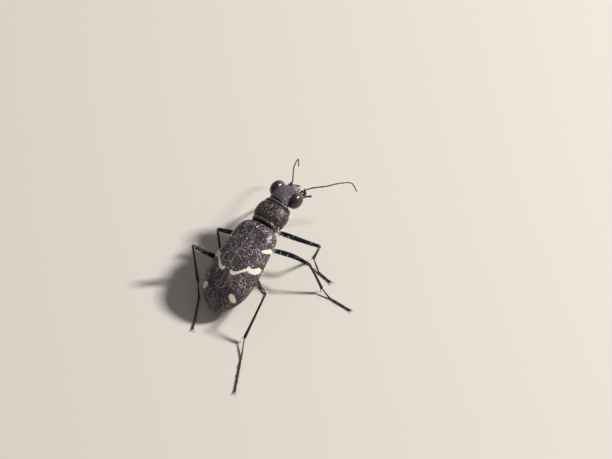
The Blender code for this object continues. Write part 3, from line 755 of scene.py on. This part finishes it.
# Painted reflection: grey is laid over the top and front of each eye.
ahead = add_node(tree, "ShaderNodeMath", {"operation": "MULTIPLY_ADD", 1: 0.6},
                 {0: axes.outputs[1], 2: axes.outputs[2]})
painted_reflection_share = add_node(tree, "ShaderNodeMath", {"operation": "MULTIPLY_ADD", 1: 0.3},
                  {0: noise(tree, here, 3.0, 3.0).outputs[0], 2: ahead.outputs[0]})
lay_colour(eye_skin, ramp(tree, painted_reflection_share.outputs[0], 1.12, 1.35, end=0.5), "#62545a")
tree.nodes["Principled BSDF"].inputs["Coat Weight"].default_value = 0.5
tree.nodes["Principled BSDF"].inputs["Coat Roughness"].default_value = 0.07
for side, label in ((1, "right"), (-1, "left")):
    dome = oval("compound_eye_" + label, (side * EYE_PLACE[0], *EYE_PLACE[1:]), EYE_RADII, 48, 32, tilt=90)
    settle(dome, HEAD, eye_skin, "eye", "eye_" + label)

# %% [markdown]
# ## Parts along a line
# Legs, feelers, palps and jaws are chains of tapered pieces. Each kind of piece is modelled once,
# straight along Y at its real size. A copy with its own mesh is then bent along a line of places: each
# point keeps its distance from the middle and follows the line's turns.

# %% Lines, and copies that follow them


def smooth_line(points, steps=10):
    """Places along a smooth curve through points."""
    rows = [np.array(point, float) for point in points]
    rows = [2 * rows[0] - rows[1]] + rows + [2 * rows[-1] - rows[-2]]
    line = []
    for a, b, c, d in zip(rows, rows[1:], rows[2:], rows[3:]):
        for t in np.arange(steps) / steps:
            line.append(0.5 * (2 * b + (c - a) * t + (2 * a - 5 * b + 4 * c - d) * t**2
                               + (3 * b - a - 3 * c + d) * t**3))
    line.append(rows[-2])
    return np.array(line)


def walked_along(line):
    """The distance walked along a line at each of its places."""
    return np.concatenate([[0], np.cumsum(np.linalg.norm(np.diff(line, axis=0), axis=1))])


def read_off(rows, walked, at):
    """Rows that belong to walked distances, read off at other distances."""
    return np.column_stack([np.interp(at, walked, rows[:, k]) for k in range(3)])


def part_of(line, start, end, count=14):
    """The stretch of a line between two shares of its length."""
    walked = walked_along(line)
    return read_off(line, walked, np.linspace(start, end, count) * walked[-1])


def lay(template, length, line, thickness=1.0, up=(0, 0, 1), mirror=False):
    """A copy of a template, which runs from 0 to length along Y, bent along a line of places."""
    copy = template.copy()
    copy.data = template.data.copy()
    bpy.context.scene.collection.objects.link(copy)
    places = points_of(copy)
    walked = walked_along(line)
    on_line = np.clip(places[:, 1], 0, length)
    at = on_line / length * walked[-1]
    middle = read_off(line, walked, at)
    way = read_off(np.gradient(line, walked, axis=0), walked, at)
    way /= np.linalg.norm(way, axis=1)[:, None]
    aside = np.cross(way, np.array(up, float))
    aside /= np.linalg.norm(aside, axis=1)[:, None]
    rise = np.cross(aside, way)
    flip = -1 if mirror else 1
    offset = aside * places[:, 0:1] * flip + rise * places[:, 2:3]
    offset = offset + way * (places[:, 1] - on_line)[:, None]
    copy.data.vertices.foreach_set("co", (middle + offset * thickness).ravel())
    if mirror:
        copy.data.flip_normals()
    copy.data.update()
    return copy


def discard(*pieces):
    """Removes templates once their copies are laid."""
    for piece in pieces:
        bpy.data.objects.remove(piece)


print("pieces can now be laid along lines")

# %% [markdown]
# ## Mouth
# Long curved jaws cross in front of the face. A pale lip plate with small teeth covers their roots, and
# jointed palps hang below on both sides. The lip is a thin bent sheet. It is drawn from flat rings, and
# its three teeth are pulled out of the front edge.

# %% Lip
labrum = ring_form("lip_plate", (
    (1.30, 0.32, 0.14, 0.12), (1.42, 0.40, 0.13, 0.15), (1.55, 0.43, 0.10, 0.18), (1.70, 0.43, 0.07, 0.20),
    (1.82, 0.40, 0.05, 0.21), (1.90, 0.34, 0.03, 0.20), (1.93, 0.28, 0.01, 0.18),
), sides=24, roundness=2.6, levels=2)
pull(labrum, [((x, 1.93, -0.08), (0, 0.10, -0.02), 0.09) for x in (-0.24, 0, 0.24)])
# The real lip is pale, bone-like horn without metal. It gives the eye a light patch ahead of the dark face.
pale_horn = cuticle("pale_lip_horn", HEAD, dark="#2c2622", light="#968c7e",
                    flecks=("#6f675c", "#c9c2b4"), fleck_share=0.1, pit=0.12, pit_depth=0.006,
                    roughness=(0.3, 0.45), metallic=0.0, mottle=0.3)
settle(labrum, HEAD, pale_horn, "labrum", "labrum")

# %% [markdown]
# ### Jaws
# A jaw is one hard horn, thick at the root and curved to a point, with three teeth on its inner edge. It
# is modelled straight, the teeth are pulled out of its side, and each copy is bent along its jaw's line.

# %% Jaws
jaw = ring_form("jaw_horn", (
    (0, 0.16, 0.20, 0.20), (0.08, 0.22, 0.22, 0.22), (0.4, 0.23, 0.19, 0.19), (0.8, 0.19, 0.15, 0.15),
    (1.2, 0.14, 0.11, 0.11), (1.6, 0.10, 0.08, 0.08), (1.9, 0.05, 0.045, 0.045), (2.0, 0.015, 0.015, 0.015),
), sides=12, roundness=2, levels=2)
pull(jaw, [((-0.20, 0.65, 0), (-0.13, 0.10, 0), 0.13), ((-0.17, 1.0, 0), (-0.15, 0.12, 0), 0.12),
           ((-0.12, 1.38, 0), (-0.12, 0.12, 0), 0.10)])
JAW_LINE = ((0.42, 1.20, -0.40), (0.72, 1.72, -0.48), (0.62, 2.22, -0.52), (0.17, 2.62, -0.52))
# The real jaw is black-brown horn, hard and smooth. It gives the eye long narrow lights.
jaw_horn = cuticle("black_jaw_horn", HEAD, dark="#120d0c", light="#3a2a22",
                   flecks=("#5b4030", "#2c2a30"), fleck_share=0.1, pit=0.12, pit_depth=0.005,
                   roughness=(0.22, 0.4), metallic=0.1, mottle=0.3)
for side, label in ((1, "right"), (-1, "left")):
    line = smooth_line([(side * x, y, z) for x, y, z in JAW_LINE])
    blade = lay(jaw, 2.0, line, mirror=side < 0)
    blade.name = "jaw_" + label
    settle(blade, HEAD, jaw_horn, "jaw", "mandible_" + label)
discard(jaw)

# %% [markdown]
# ### Palps
# Palps are the mouth's own little feelers. The outer two reach ahead below the jaws, and the inner two
# hang from a plate below the mouth. One joint is modelled, and copies of it are laid end to end along
# each palp's line.

# %% Palps and the plate below the mouth
palp_joint = ring_form("palp_joint", round_rings((0, 0.05), (0.04, 0.085), (0.3, 0.085), (0.8, 0.11),
                                                 (0.96, 0.10), (1.0, 0.06)), sides=10, roundness=2, levels=1)
# The real leg is blue-black and smooth, and its metal gives steel-blue lights. Its steel-blue and violet
# flecks are painted sheen.
leg_skin = cuticle("blue_black_leg_cuticle", STANCE, dark="#0f1117", light="#34404f",
                   flecks=("#5a7088", "#4e4a5e"), fleck_share=0.12, pit=0.12, pit_depth=0.008,
                   roughness=(0.22, 0.42), metallic=0.55, mottle=0.5)
OUTER_LINE = ((0.52, 0.70, -0.60), (0.70, 1.27, -1.12), (0.50, 2.10, -1.04), (0.84, 2.90, -1.16))
OUTER_JOINTS = ((0, 0.2), (0.2, 0.55), (0.55, 0.78), (0.78, 1.0))
INNER_LINE = ((0.17, 1.20, -0.92), (0.20, 1.62, -1.36), (0.30, 2.00, -1.60))
INNER_JOINTS = ((0, 0.3), (0.3, 0.72), (0.72, 1.0))


def palp(name, points, joints, side):
    """A palp of several joints, each a stretch of the whole length."""
    line = smooth_line([(side * x, y, z) for x, y, z in points])
    pieces = [lay(palp_joint, 1.0, part_of(line, start, end)) for start, end in joints]
    return join_pieces(name, pieces)


mentum = ring_form("mouth_plate", (
    (0.60, 0.14, 0.10, 0.12), (0.68, 0.24, 0.18, 0.20), (0.90, 0.29, 0.24, 0.25), (1.15, 0.28, 0.23, 0.24),
    (1.36, 0.22, 0.17, 0.18), (1.44, 0.12, 0.09, 0.10),
), sides=16, levels=2)
edit(mentum)
bpy.ops.mesh.select_all(action="SELECT")
bpy.ops.transform.translate(value=(0, 0, -0.86))
leave_edit()
labials = [palp("labial_palp", INNER_LINE, INNER_JOINTS, side) for side in (-1, 1)]
settle(join_pieces("mouth_plate", [mentum] + labials), HEAD, jaw_horn, "jaw", "labium")
for side, label in ((1, "right"), (-1, "left")):
    long_palp = palp("long_palp_" + label, OUTER_LINE, OUTER_JOINTS, side)
    settle(long_palp, HEAD, leg_skin, "leg", "maxillary_palp_" + label)
discard(palp_joint)

# %% [markdown]
# ## Feelers
# Each feeler has eleven joints: a stout first one, a bead, then long thin ones that swell a little at
# their ends. The first four are bare and shiny, the others dull with fine down.

# %% Feelers
FEELERS = {
    "left": ((-2.66, 6.62, 4.68), (-2.40, 7.10, 4.95), (-2.85, 8.05, 4.60), (-3.41, 9.08, 4.00),
             (-3.76, 9.88, 3.60), (-4.03, 10.93, 3.10), (-3.97, 10.90, 2.25)),
    "right": ((-1.52, 6.36, 4.66), (-1.08, 6.96, 4.88), (-0.61, 7.51, 4.90), (0.23, 8.36, 4.75),
              (0.79, 9.25, 4.50), (1.48, 10.24, 3.95), (1.95, 10.38, 3.00)),
}
JOINT_SHARES = (0.105, 0.03, 0.15, 0.115, 0.11, 0.10, 0.095, 0.085, 0.075, 0.065, 0.07)
JOINT_RADII = (1.45, 1.05, 0.88, 0.88, 0.86, 0.84, 0.82, 0.80, 0.78, 0.75, 0.70)
feeler_joint = ring_form("feeler_joint", round_rings((0, 0.035), (0.03, 0.058), (0.2, 0.062), (0.8, 0.075),
                                                     (0.95, 0.082), (1.0, 0.05)),
                         sides=10, roundness=2, levels=2)
# The real outer joints are brown-black under down too fine to see, which makes them look matt.
feeler_skin = cuticle("downy_feeler_cuticle", STANCE, dark="#171211", light="#4a3a33",
                      flecks=("#6b5a4c", "#33373f"), fleck_share=0.15, pit=0.08, pit_depth=0.004,
                      roughness=(0.45, 0.6), metallic=0.05, mottle=0.5)
for label, points in FEELERS.items():
    line = smooth_line(points)
    joints, start = [], 0.0
    for share, radius in zip(JOINT_SHARES, JOINT_RADII):
        joint = lay(feeler_joint, 1.0, part_of(line, start, start + share), radius)
        joint.data.materials.append(leg_skin if len(joints) < 4 else feeler_skin)
        joints.append(joint)
        start += share
    settle(join_pieces("feeler_" + label, joints), STANCE, None, "feeler",
           *("antenna_" + label + "_" + part for part in ("scape", "shaft", "tip")))
discard(feeler_joint)

# %% [markdown]
# ## Underside
# Below the wing cases the body is a boat of hard plates: the middle body with the roots of two pairs of
# legs, and the belly with a row of plates that overlap like roof tiles. Each step between plates is a
# pair of rings, the rear one a little smaller.

# %% Middle body and belly
# (mm ahead of the scutellum, depth below the side margin)
BELLY_DEPTHS = ((0.6, 0.80), (0.1, 1.05), (-0.8, 1.28), (-2.4, 1.26), (-3.4, 1.10), (-4.7, 0.92),
                (-5.9, 0.72), (-6.9, 0.46), (-7.6, 0.30))
PLATE_REARS = (-7.55, -6.9, -6.15, -5.35, -4.55, -3.8)
PLATE_FRONTS = (-6.95, -6.2, -5.4, -4.6, -3.85, -3.1)
# The real underside is smooth blue-black plates. It gives the eye a cold gleam, and is browner at the waist.
under_skin = cuticle("blue_black_belly_cuticle", HIND, dark="#0e0f13", light="#3a414d",
                     flecks=("#53697a", "#6d5a50"), fleck_share=0.15, pit=0.14, pit_depth=0.012,
                     roughness=(0.28, 0.45), metallic=0.5, mottle=0.6)
tree = under_skin.node_tree
axes = add_node(tree, "ShaderNodeSeparateXYZ", None, {0: place_in_mm(tree, HIND)})
lay_colour(under_skin, ramp(tree, axes.outputs[1], -0.35, 0.0, end=0.85), "#2a1e1a")


def under_ring(y, step=0.0):
    """A ring of the underside at y, tucked under the wing cases."""
    half_width, height = between_stations(CASE_PROFILE, min(y, 0.14))
    depth = between_stations(BELLY_DEPTHS, y)[0]
    return (y, max(half_width - 0.13 - step, 0.08), max(height - 0.2, 0.06), depth - step)


belly_rings = [under_ring(-7.66, 0.12), under_ring(-7.6, 0.05)]
for rear, front in zip(PLATE_REARS, PLATE_FRONTS):
    belly_rings += [under_ring(rear + 0.02), under_ring((rear + front) / 2, 0.005),
                    under_ring(front - 0.06, 0.01), under_ring(front, 0.05)]
belly = ring_form("belly", sorted(belly_rings), sides=32, levels=2)
settle(belly, HIND, under_skin, "underside", "abdomen")
chest_rings = [under_ring(y) for y in (-3.2, -3.15, -2.9, -2.3, -1.7, -1.1, -0.6, -0.3)]
chest_rings += [(-0.10, 1.10, 0.30, 0.95), (0.12, 0.84, 0.20, 0.78), (0.40, 0.78, 0.28, 0.74),
                (0.72, 0.72, 0.30, 0.72), (0.75, 0.60, 0.2, 0.6)]
chest = ring_form("middle_body", chest_rings, sides=32, levels=2)
settle(chest, HIND, under_skin, "underside", "thorax")

# %% [markdown]
# ## Legs
# Six long running legs. Each has a rounded hip, a spindle-shaped thigh with a small ring at its root, a
# straight shin with two spurs at its end, and a foot of five joints with a pair of claws. Thigh, shin,
# foot joint, claw and spine are each modelled once and laid along every leg's own line.

# %% Templates for the legs
thigh = ring_form("thigh_template", (
    (-0.02, 0.08, 0.08, 0.08), (0.05, 0.14, 0.15, 0.15), (0.22, 0.17, 0.18, 0.18), (0.30, 0.155, 0.16, 0.16),
    (0.36, 0.18, 0.19, 0.19), (0.9, 0.215, 0.235, 0.235), (1.5, 0.22, 0.24, 0.24), (2.4, 0.20, 0.215, 0.215),
    (3.3, 0.165, 0.18, 0.18), (3.75, 0.155, 0.175, 0.165), (3.93, 0.165, 0.185, 0.16),
    (4.02, 0.10, 0.12, 0.10),
), sides=12, roundness=2, levels=2)
shin = ring_form("shin_template", (
    (-0.08, 0.06, 0.06, 0.06), (-0.03, 0.105, 0.11, 0.11), (0.12, 0.10, 0.11, 0.10),
    (0.25, 0.09, 0.10, 0.095), (1.2, 0.098, 0.105, 0.105), (2.3, 0.11, 0.12, 0.12),
    (2.85, 0.135, 0.14, 0.14), (2.97, 0.14, 0.145, 0.145), (3.02, 0.09, 0.09, 0.09),
), sides=12, roundness=2, levels=2)
foot_joint = ring_form("foot_template", (
    (0, 0.035, 0.035, 0.035), (0.04, 0.055, 0.055, 0.055), (0.3, 0.058, 0.06, 0.055),
    (0.85, 0.08, 0.078, 0.075), (0.97, 0.085, 0.08, 0.08), (1.01, 0.05, 0.045, 0.045),
), sides=10, roundness=2, levels=2)
spine = ring_form("spine_template", round_rings((0, 0.02), (0.35, 0.018), (0.8, 0.009), (1.0, 0.002)),
                  sides=6, roundness=2, levels=1)
print("leg templates:", [len(piece.data.polygons) for piece in (thigh, shin, foot_joint, spine)])

# %% Legs
# (hip, a place that bows the thigh, knee, ankle, end of the first foot joint, tip), in mm over the floor
LEGS = {
    "front_right": ((-1.65, 3.30, 3.02), (0.70, 3.46, 3.10), (2.15, 3.79, 2.90), (1.37, 4.14, 0.48),
                    (2.40, 3.25, 0.20), (3.69, 2.86, 0.20)),
    "front_left": ((-3.45, 3.55, 3.05), (-3.85, 5.05, 2.90), (-4.12, 6.70, 2.50), (-4.55, 8.10, 0.48),
                   (-4.62, 9.00, 0.20), (-4.45, 10.10, 0.20)),
    "mid_right": ((-1.40, 1.80, 2.45), (0.73, 1.95, 2.70), (2.30, 1.90, 2.60), (3.55, 1.73, 0.48),
                  (4.45, 1.38, 0.20), (6.54, 1.12, 0.20)),
    "mid_left": ((-3.70, 1.70, 2.40), (-4.98, 1.58, 2.68), (-6.18, 1.32, 2.65), (-4.97, -0.01, 0.48),
                 (-4.75, -0.95, 0.20), (-4.45, -3.00, 0.20)),
    "hind_right": ((-1.48, -0.45, 1.42), (-0.62, -1.38, 1.68), (1.04, -3.13, 3.50), (0.63, -5.80, 0.48),
                   (1.30, -7.40, 0.20), (2.61, -10.60, 0.20)),
    "hind_left": ((-3.68, -0.45, 1.42), (-5.05, -0.90, 2.10), (-6.50, -1.96, 3.80), (-5.73, -2.66, 0.48),
                  (-4.86, -3.95, 0.20), (-3.60, -6.90, 0.20)),
}
# (middle, half-sizes along X, Y and Z)
HIPS = {
    "front_right": ((-1.95, 3.50, 3.22), (0.40, 0.50, 0.50)),
    "front_left": ((-2.93, 3.46, 3.22), (0.40, 0.50, 0.50)),
    "mid_right": ((-1.96, 1.55, 2.55), (0.44, 0.48, 0.46)),
    "mid_left": ((-3.12, 1.55, 2.55), (0.44, 0.48, 0.46)),
    "hind_right": ((-1.93, -0.35, 1.70), (0.52, 0.44, 0.40)),
    "hind_left": ((-3.20, -0.33, 1.70), (0.52, 0.44, 0.40)),
}
# The solid feet are thicker than the real ones. The fine foot's line runs lower, moved along the camera's
# view.
SLIM_FOOT = np.array((-0.045, 0.077, -0.11))
FOOT_SHARES = ((0.0, 0.36), (0.36, 0.56), (0.56, 0.71), (0.71, 0.81), (0.81, 1.0))
SPUR_THICKNESS = 1.6
CLAW_THICKNESS = 1.7
# The real shin is red-brown with a green film. It looks warmer than the blue thigh.
shin_skin = cuticle("red_brown_shin_cuticle", STANCE, dark="#1d1312", light="#4b3330",
                    flecks=("#3f5a4c", "#7b5348"), fleck_share=0.2, pit=0.12, pit_depth=0.008,
                    roughness=(0.25, 0.45), metallic=0.35, mottle=0.5)
# The real foot is dark horn with little gloss, and it looks nearly black against the ground.
foot_skin = cuticle("dark_foot_cuticle", STANCE, dark="#14130f", light="#3b3d33",
                    flecks=("#4a5a48", "#5a463a"), fleck_share=0.15, pit=0.10, pit_depth=0.005,
                    roughness=(0.3, 0.5), metallic=0.25, mottle=0.5)


def unit(vector):
    """A vector of the same direction that is 1 long."""
    return vector / np.linalg.norm(vector)


for label, points in LEGS.items():
    hip, bow, knee, ankle, instep, tip = (np.array(point) for point in points)
    instep, tip = instep + SLIM_FOOT, tip + SLIM_FOOT
    back_of_leg = knee - (hip + ankle) / 2
    coxa = oval("hip_" + label, *HIPS[label], 24, 16)
    settle(coxa, STANCE, under_skin, "underside", "coxa_" + label)
    femur = lay(thigh, 4.0, smooth_line((hip, bow, knee)), up=back_of_leg)
    femur.name = "thigh_" + label
    settle(femur, STANCE, leg_skin, "leg", "femur_" + label)
    shin_line = smooth_line((knee, (knee + ankle) / 2 + unit(back_of_leg) * 0.03, ankle))
    pieces = [lay(shin, 3.0, shin_line, up=back_of_leg)]
    way = unit(ankle - knee)
    across = unit(np.cross(way, back_of_leg))
    inner = np.cross(way, across)
    if inner @ back_of_leg > 0:
        inner = -inner
    # Two spurs stand at the shin's end, spread to the sides and a little inwards.
    for turn in (-1, 1):
        root = ankle - way * 0.05 + across * turn * 0.07 + inner * 0.06
        end = root + way * 0.42 + across * turn * 0.12 + inner * 0.10
        spur_line = part_of(np.array((root, end)), 0, 1, 5)
        pieces.append(lay(spine, 1.0, spur_line, SPUR_THICKNESS, up=back_of_leg))
    settle(join_pieces("shin_" + label, pieces), STANCE, shin_skin, "leg", "tibia_" + label)
    foot_line = np.concatenate((part_of(np.array((ankle, instep)), 0, 1, 12),
                                part_of(np.array((instep, tip)), 0.08, 1, 20)))
    pieces = [lay(foot_joint, 1.0, part_of(foot_line, *shares)) for shares in FOOT_SHARES]
    way = unit(tip - instep)
    across = unit(np.cross(way, (0, 0, 1)))
    # Two claws at the tip spread and curve down.
    for turn in (-1, 1):
        claw_line = smooth_line((tip - way * 0.03, tip + way * 0.16 + across * turn * 0.10 + (0, 0, 0.05),
                                 tip + way * 0.34 + across * turn * 0.18 - (0, 0, 0.04)))
        pieces.append(lay(spine, 1.0, part_of(claw_line, 0, 1, 8), CLAW_THICKNESS))
    foot = join_pieces("foot_" + label, pieces)
    # No claw or joint dips below the floor.
    for vert in foot.data.vertices:
        vert.co.z = max(vert.co.z, 0.0)
    settle(foot, STANCE, foot_skin, "foot", "tarsus_" + label)
discard(thigh, shin, foot_joint, spine)

# %% [markdown]
# ## Hairs and bristles
# Fine white hairs stand on the face, the hips, the thighs and the lower sides, and short dark bristles
# line the shins and feet. A real hair is about 0.01 mm thick. These are drawn about twice as thick, or
# they would vanish in a picture. One hair is a small bent cone, and each region's hairs are one joined
# mesh made from arrays. Their roots are drawn by lot, with a fixed seed, from the faces of the finished
# skins, so they are never off the surface.

# %% The hair and its coats
clear_selection()
bpy.ops.mesh.primitive_cone_add(vertices=4, radius1=0.012, radius2=0.009, depth=0.5,
                                end_fill_type="NOTHING", location=(0, 0, 0.25))
one_hair = bpy.context.object
bpy.ops.object.transform_apply()
edit(one_hair)
choose(one_hair, lambda co: co.z > 0.4)
bpy.ops.mesh.extrude_region_move(TRANSFORM_OT_translate={"value": (0.10, 0, 0.32)})
bpy.ops.transform.resize(value=(0.6, 0.6, 1.0), center_override=(0.10, 0, 0.82))
bpy.ops.mesh.extrude_region_move(TRANSFORM_OT_translate={"value": (0.12, 0, 0.18)})
bpy.ops.mesh.merge(type="CENTER")
choose(one_hair, lambda co: co.z < 0.01)
bpy.ops.mesh.edge_face_add()
bpy.ops.mesh.select_all(action="SELECT")
bpy.ops.mesh.normals_make_consistent(inside=False)
leave_edit()
HAIR_PLACES = np.array([vert.co[:] for vert in one_hair.data.vertices])
HAIR_FACES = [list(face.vertices) for face in one_hair.data.polygons]
discard(one_hair)

# How far hairs sway, how their lengths spread, how deep their roots sit, and how low a point may be, in mm
SWAY = 0.18
LENGTHS = (0.6, 1.15)
ROOT_DEPTH = 0.02
LOWEST = 0.01
# Each hair has a small patch of the surface map, at a place that tells where on the body it stands.
PATCH = 0.003
PATCH_START = 0.02
PATCH_SPAN = 0.95

# The real hair is clear and hollow, so it scatters light and looks white.
white_hair = cuticle("white_hair", STANCE, dark="#cfc8bd", light="#f4f1ea",
                     flecks=("#ffffff", "#d8d2c8"), fleck_share=0.1, pit=0.2, pit_depth=0.0,
                     roughness=(0.4, 0.5), metallic=0.0, mottle=0.6)
# The real bristle is stiff dark horn, and it draws a thin dark fringe along the leg.
dark_bristle = cuticle("dark_bristle", STANCE, dark="#120e0d", light="#3a2c26",
                       flecks=("#4e3d33", "#2a2623"), fleck_share=0.1, pit=0.2, pit_depth=0.0,
                       roughness=(0.35, 0.5), metallic=0.1, mottle=0.6)


def hair_coat(name, skins, body, grows, count, length, stand, lie, seed, material):
    """Hairs on skins where grows(places, normals) is above zero, leaning from the normal towards lie."""
    draw = np.random.RandomState(seed)
    turn = np.array(body.to_3x3()).T
    origin = np.array(body.translation)
    centres, normals = [], []
    for skin in skins:
        for face in bpy.data.objects[skin].data.polygons:
            centres.append(face.center[:])
            normals.append(face.normal[:])
    centres, normals = np.array(centres) / MM, np.array(normals)
    places, facing = (centres - origin) @ turn.T, normals @ turn.T
    chance = np.clip(grows(places, facing), 0, None)
    roots = draw.choice(len(centres), count, p=chance / chance.sum())
    low, high = places.min(axis=0), places.max(axis=0)
    lean = np.array(lie, float) @ turn
    points, faces, patches = [], [], []
    for root in roots:
        way = unit(normals[root] * stand + lean * (1 - stand) + draw.normal(0, SWAY, 3))
        bend = unit(np.cross(np.cross(way, lean + 0.001), way))
        aside = np.cross(way, bend)
        size = length * draw.uniform(*LENGTHS)
        slim = (length / size) ** 0.5
        start = centres[root] - normals[root] * ROOT_DEPTH
        grown = np.outer(HAIR_PLACES[:, 2] * size, way)
        grown += np.outer(HAIR_PLACES[:, 0] * (size * 0.5 + 0.5 * slim), bend)
        grown += np.outer(HAIR_PLACES[:, 1] * slim, aside)
        first = len(points)
        grown += start
        grown[:, 2] = np.maximum(grown[:, 2], LOWEST)
        points.extend(grown * MM)
        faces.extend([first + index for index in face] for face in HAIR_FACES)
        around = math.atan2(places[root][2], places[root][0]) / math.tau + 0.5
        along = (places[root][1] - low[1]) / max(high[1] - low[1], 0.001)
        patches.append((PATCH_START + PATCH_SPAN * around, PATCH_START + PATCH_SPAN * along))
    mesh = bpy.data.meshes.new(name)
    mesh.from_pydata([tuple(point) for point in points], [], faces)
    unwrap = mesh.uv_layers.new(name="OFBake")
    per_hair = len(HAIR_PLACES)
    spot = np.empty((len(mesh.loops), 2))
    for loop in mesh.loops:
        hair, corner = divmod(loop.vertex_index, per_hair)
        tall = HAIR_PLACES[corner][2]
        spot[loop.index] = (patches[hair][0] + PATCH * (corner % 4) / 3, patches[hair][1] + PATCH * tall)
    unwrap.data.foreach_set("uv", spot.ravel())
    coat = bpy.data.objects.new(name, mesh)
    bpy.context.scene.collection.objects.link(coat)
    coat.data.materials.append(material)
    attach(coat, "root")
    print(name, count, "hairs")
    return coat


# %% Where hairs grow


def everywhere(places, facing):
    return np.ones(len(places))


def low_sides(places, facing):
    return (places[:, 2] < 0.25) * (facing[:, 2] < 0.3) * 1.0


def face_and_throat(places, facing):
    return (places[:, 1] > 0.9) * (facing[:, 2] > -0.2) + (places[:, 2] < -0.2) * 0.5


def chest_below(places, facing):
    return (places[:, 2] < -0.25) * (places[:, 1] < 0.6) * 1.0


def belly_below(places, facing):
    return (places[:, 2] < -0.25) * 1.0


def off_the_top(places, facing):
    return (facing[:, 2] < 0.6) * 1.0


# %% White hairs and dark bristles
hair_coat("neck_shield_hairs", ["neck_shield"], FORE, low_sides, 220, 0.42, 0.75, (0, -0.7, -0.7), 3,
          white_hair)
hair_coat("face_hairs", ["skull"], HEAD, face_and_throat, 130, 0.30, 0.7, (0, 0.7, 0.3), 5,
          white_hair)
hair_coat("middle_body_hairs", ["middle_body"], HIND, chest_below, 380, 0.42, 0.6, (0, -0.9, -0.4), 7,
          white_hair)
hair_coat("belly_hairs", ["belly"], HIND, belly_below, 260, 0.34, 0.45, (0, -1, -0.2), 9,
          white_hair)
for number, label in enumerate(LEGS):
    knee, ankle = np.array(LEGS[label][2]), np.array(LEGS[label][3])
    hair_coat("hip_hairs_" + label, ["hip_" + label], STANCE, off_the_top, 34, 0.36, 0.8, (0, -0.3, -0.8),
              20 + number, white_hair)
    hair_coat("thigh_hairs_" + label, ["thigh_" + label], STANCE, everywhere, 80, 0.26, 0.8, (0, 0, -0.5),
              30 + number, white_hair)
    hair_coat("shin_bristles_" + label, ["shin_" + label, "foot_" + label], STANCE, everywhere, 110,
              0.17, 0.6, tuple(unit(ankle - knee)), 40 + number, dark_bristle)
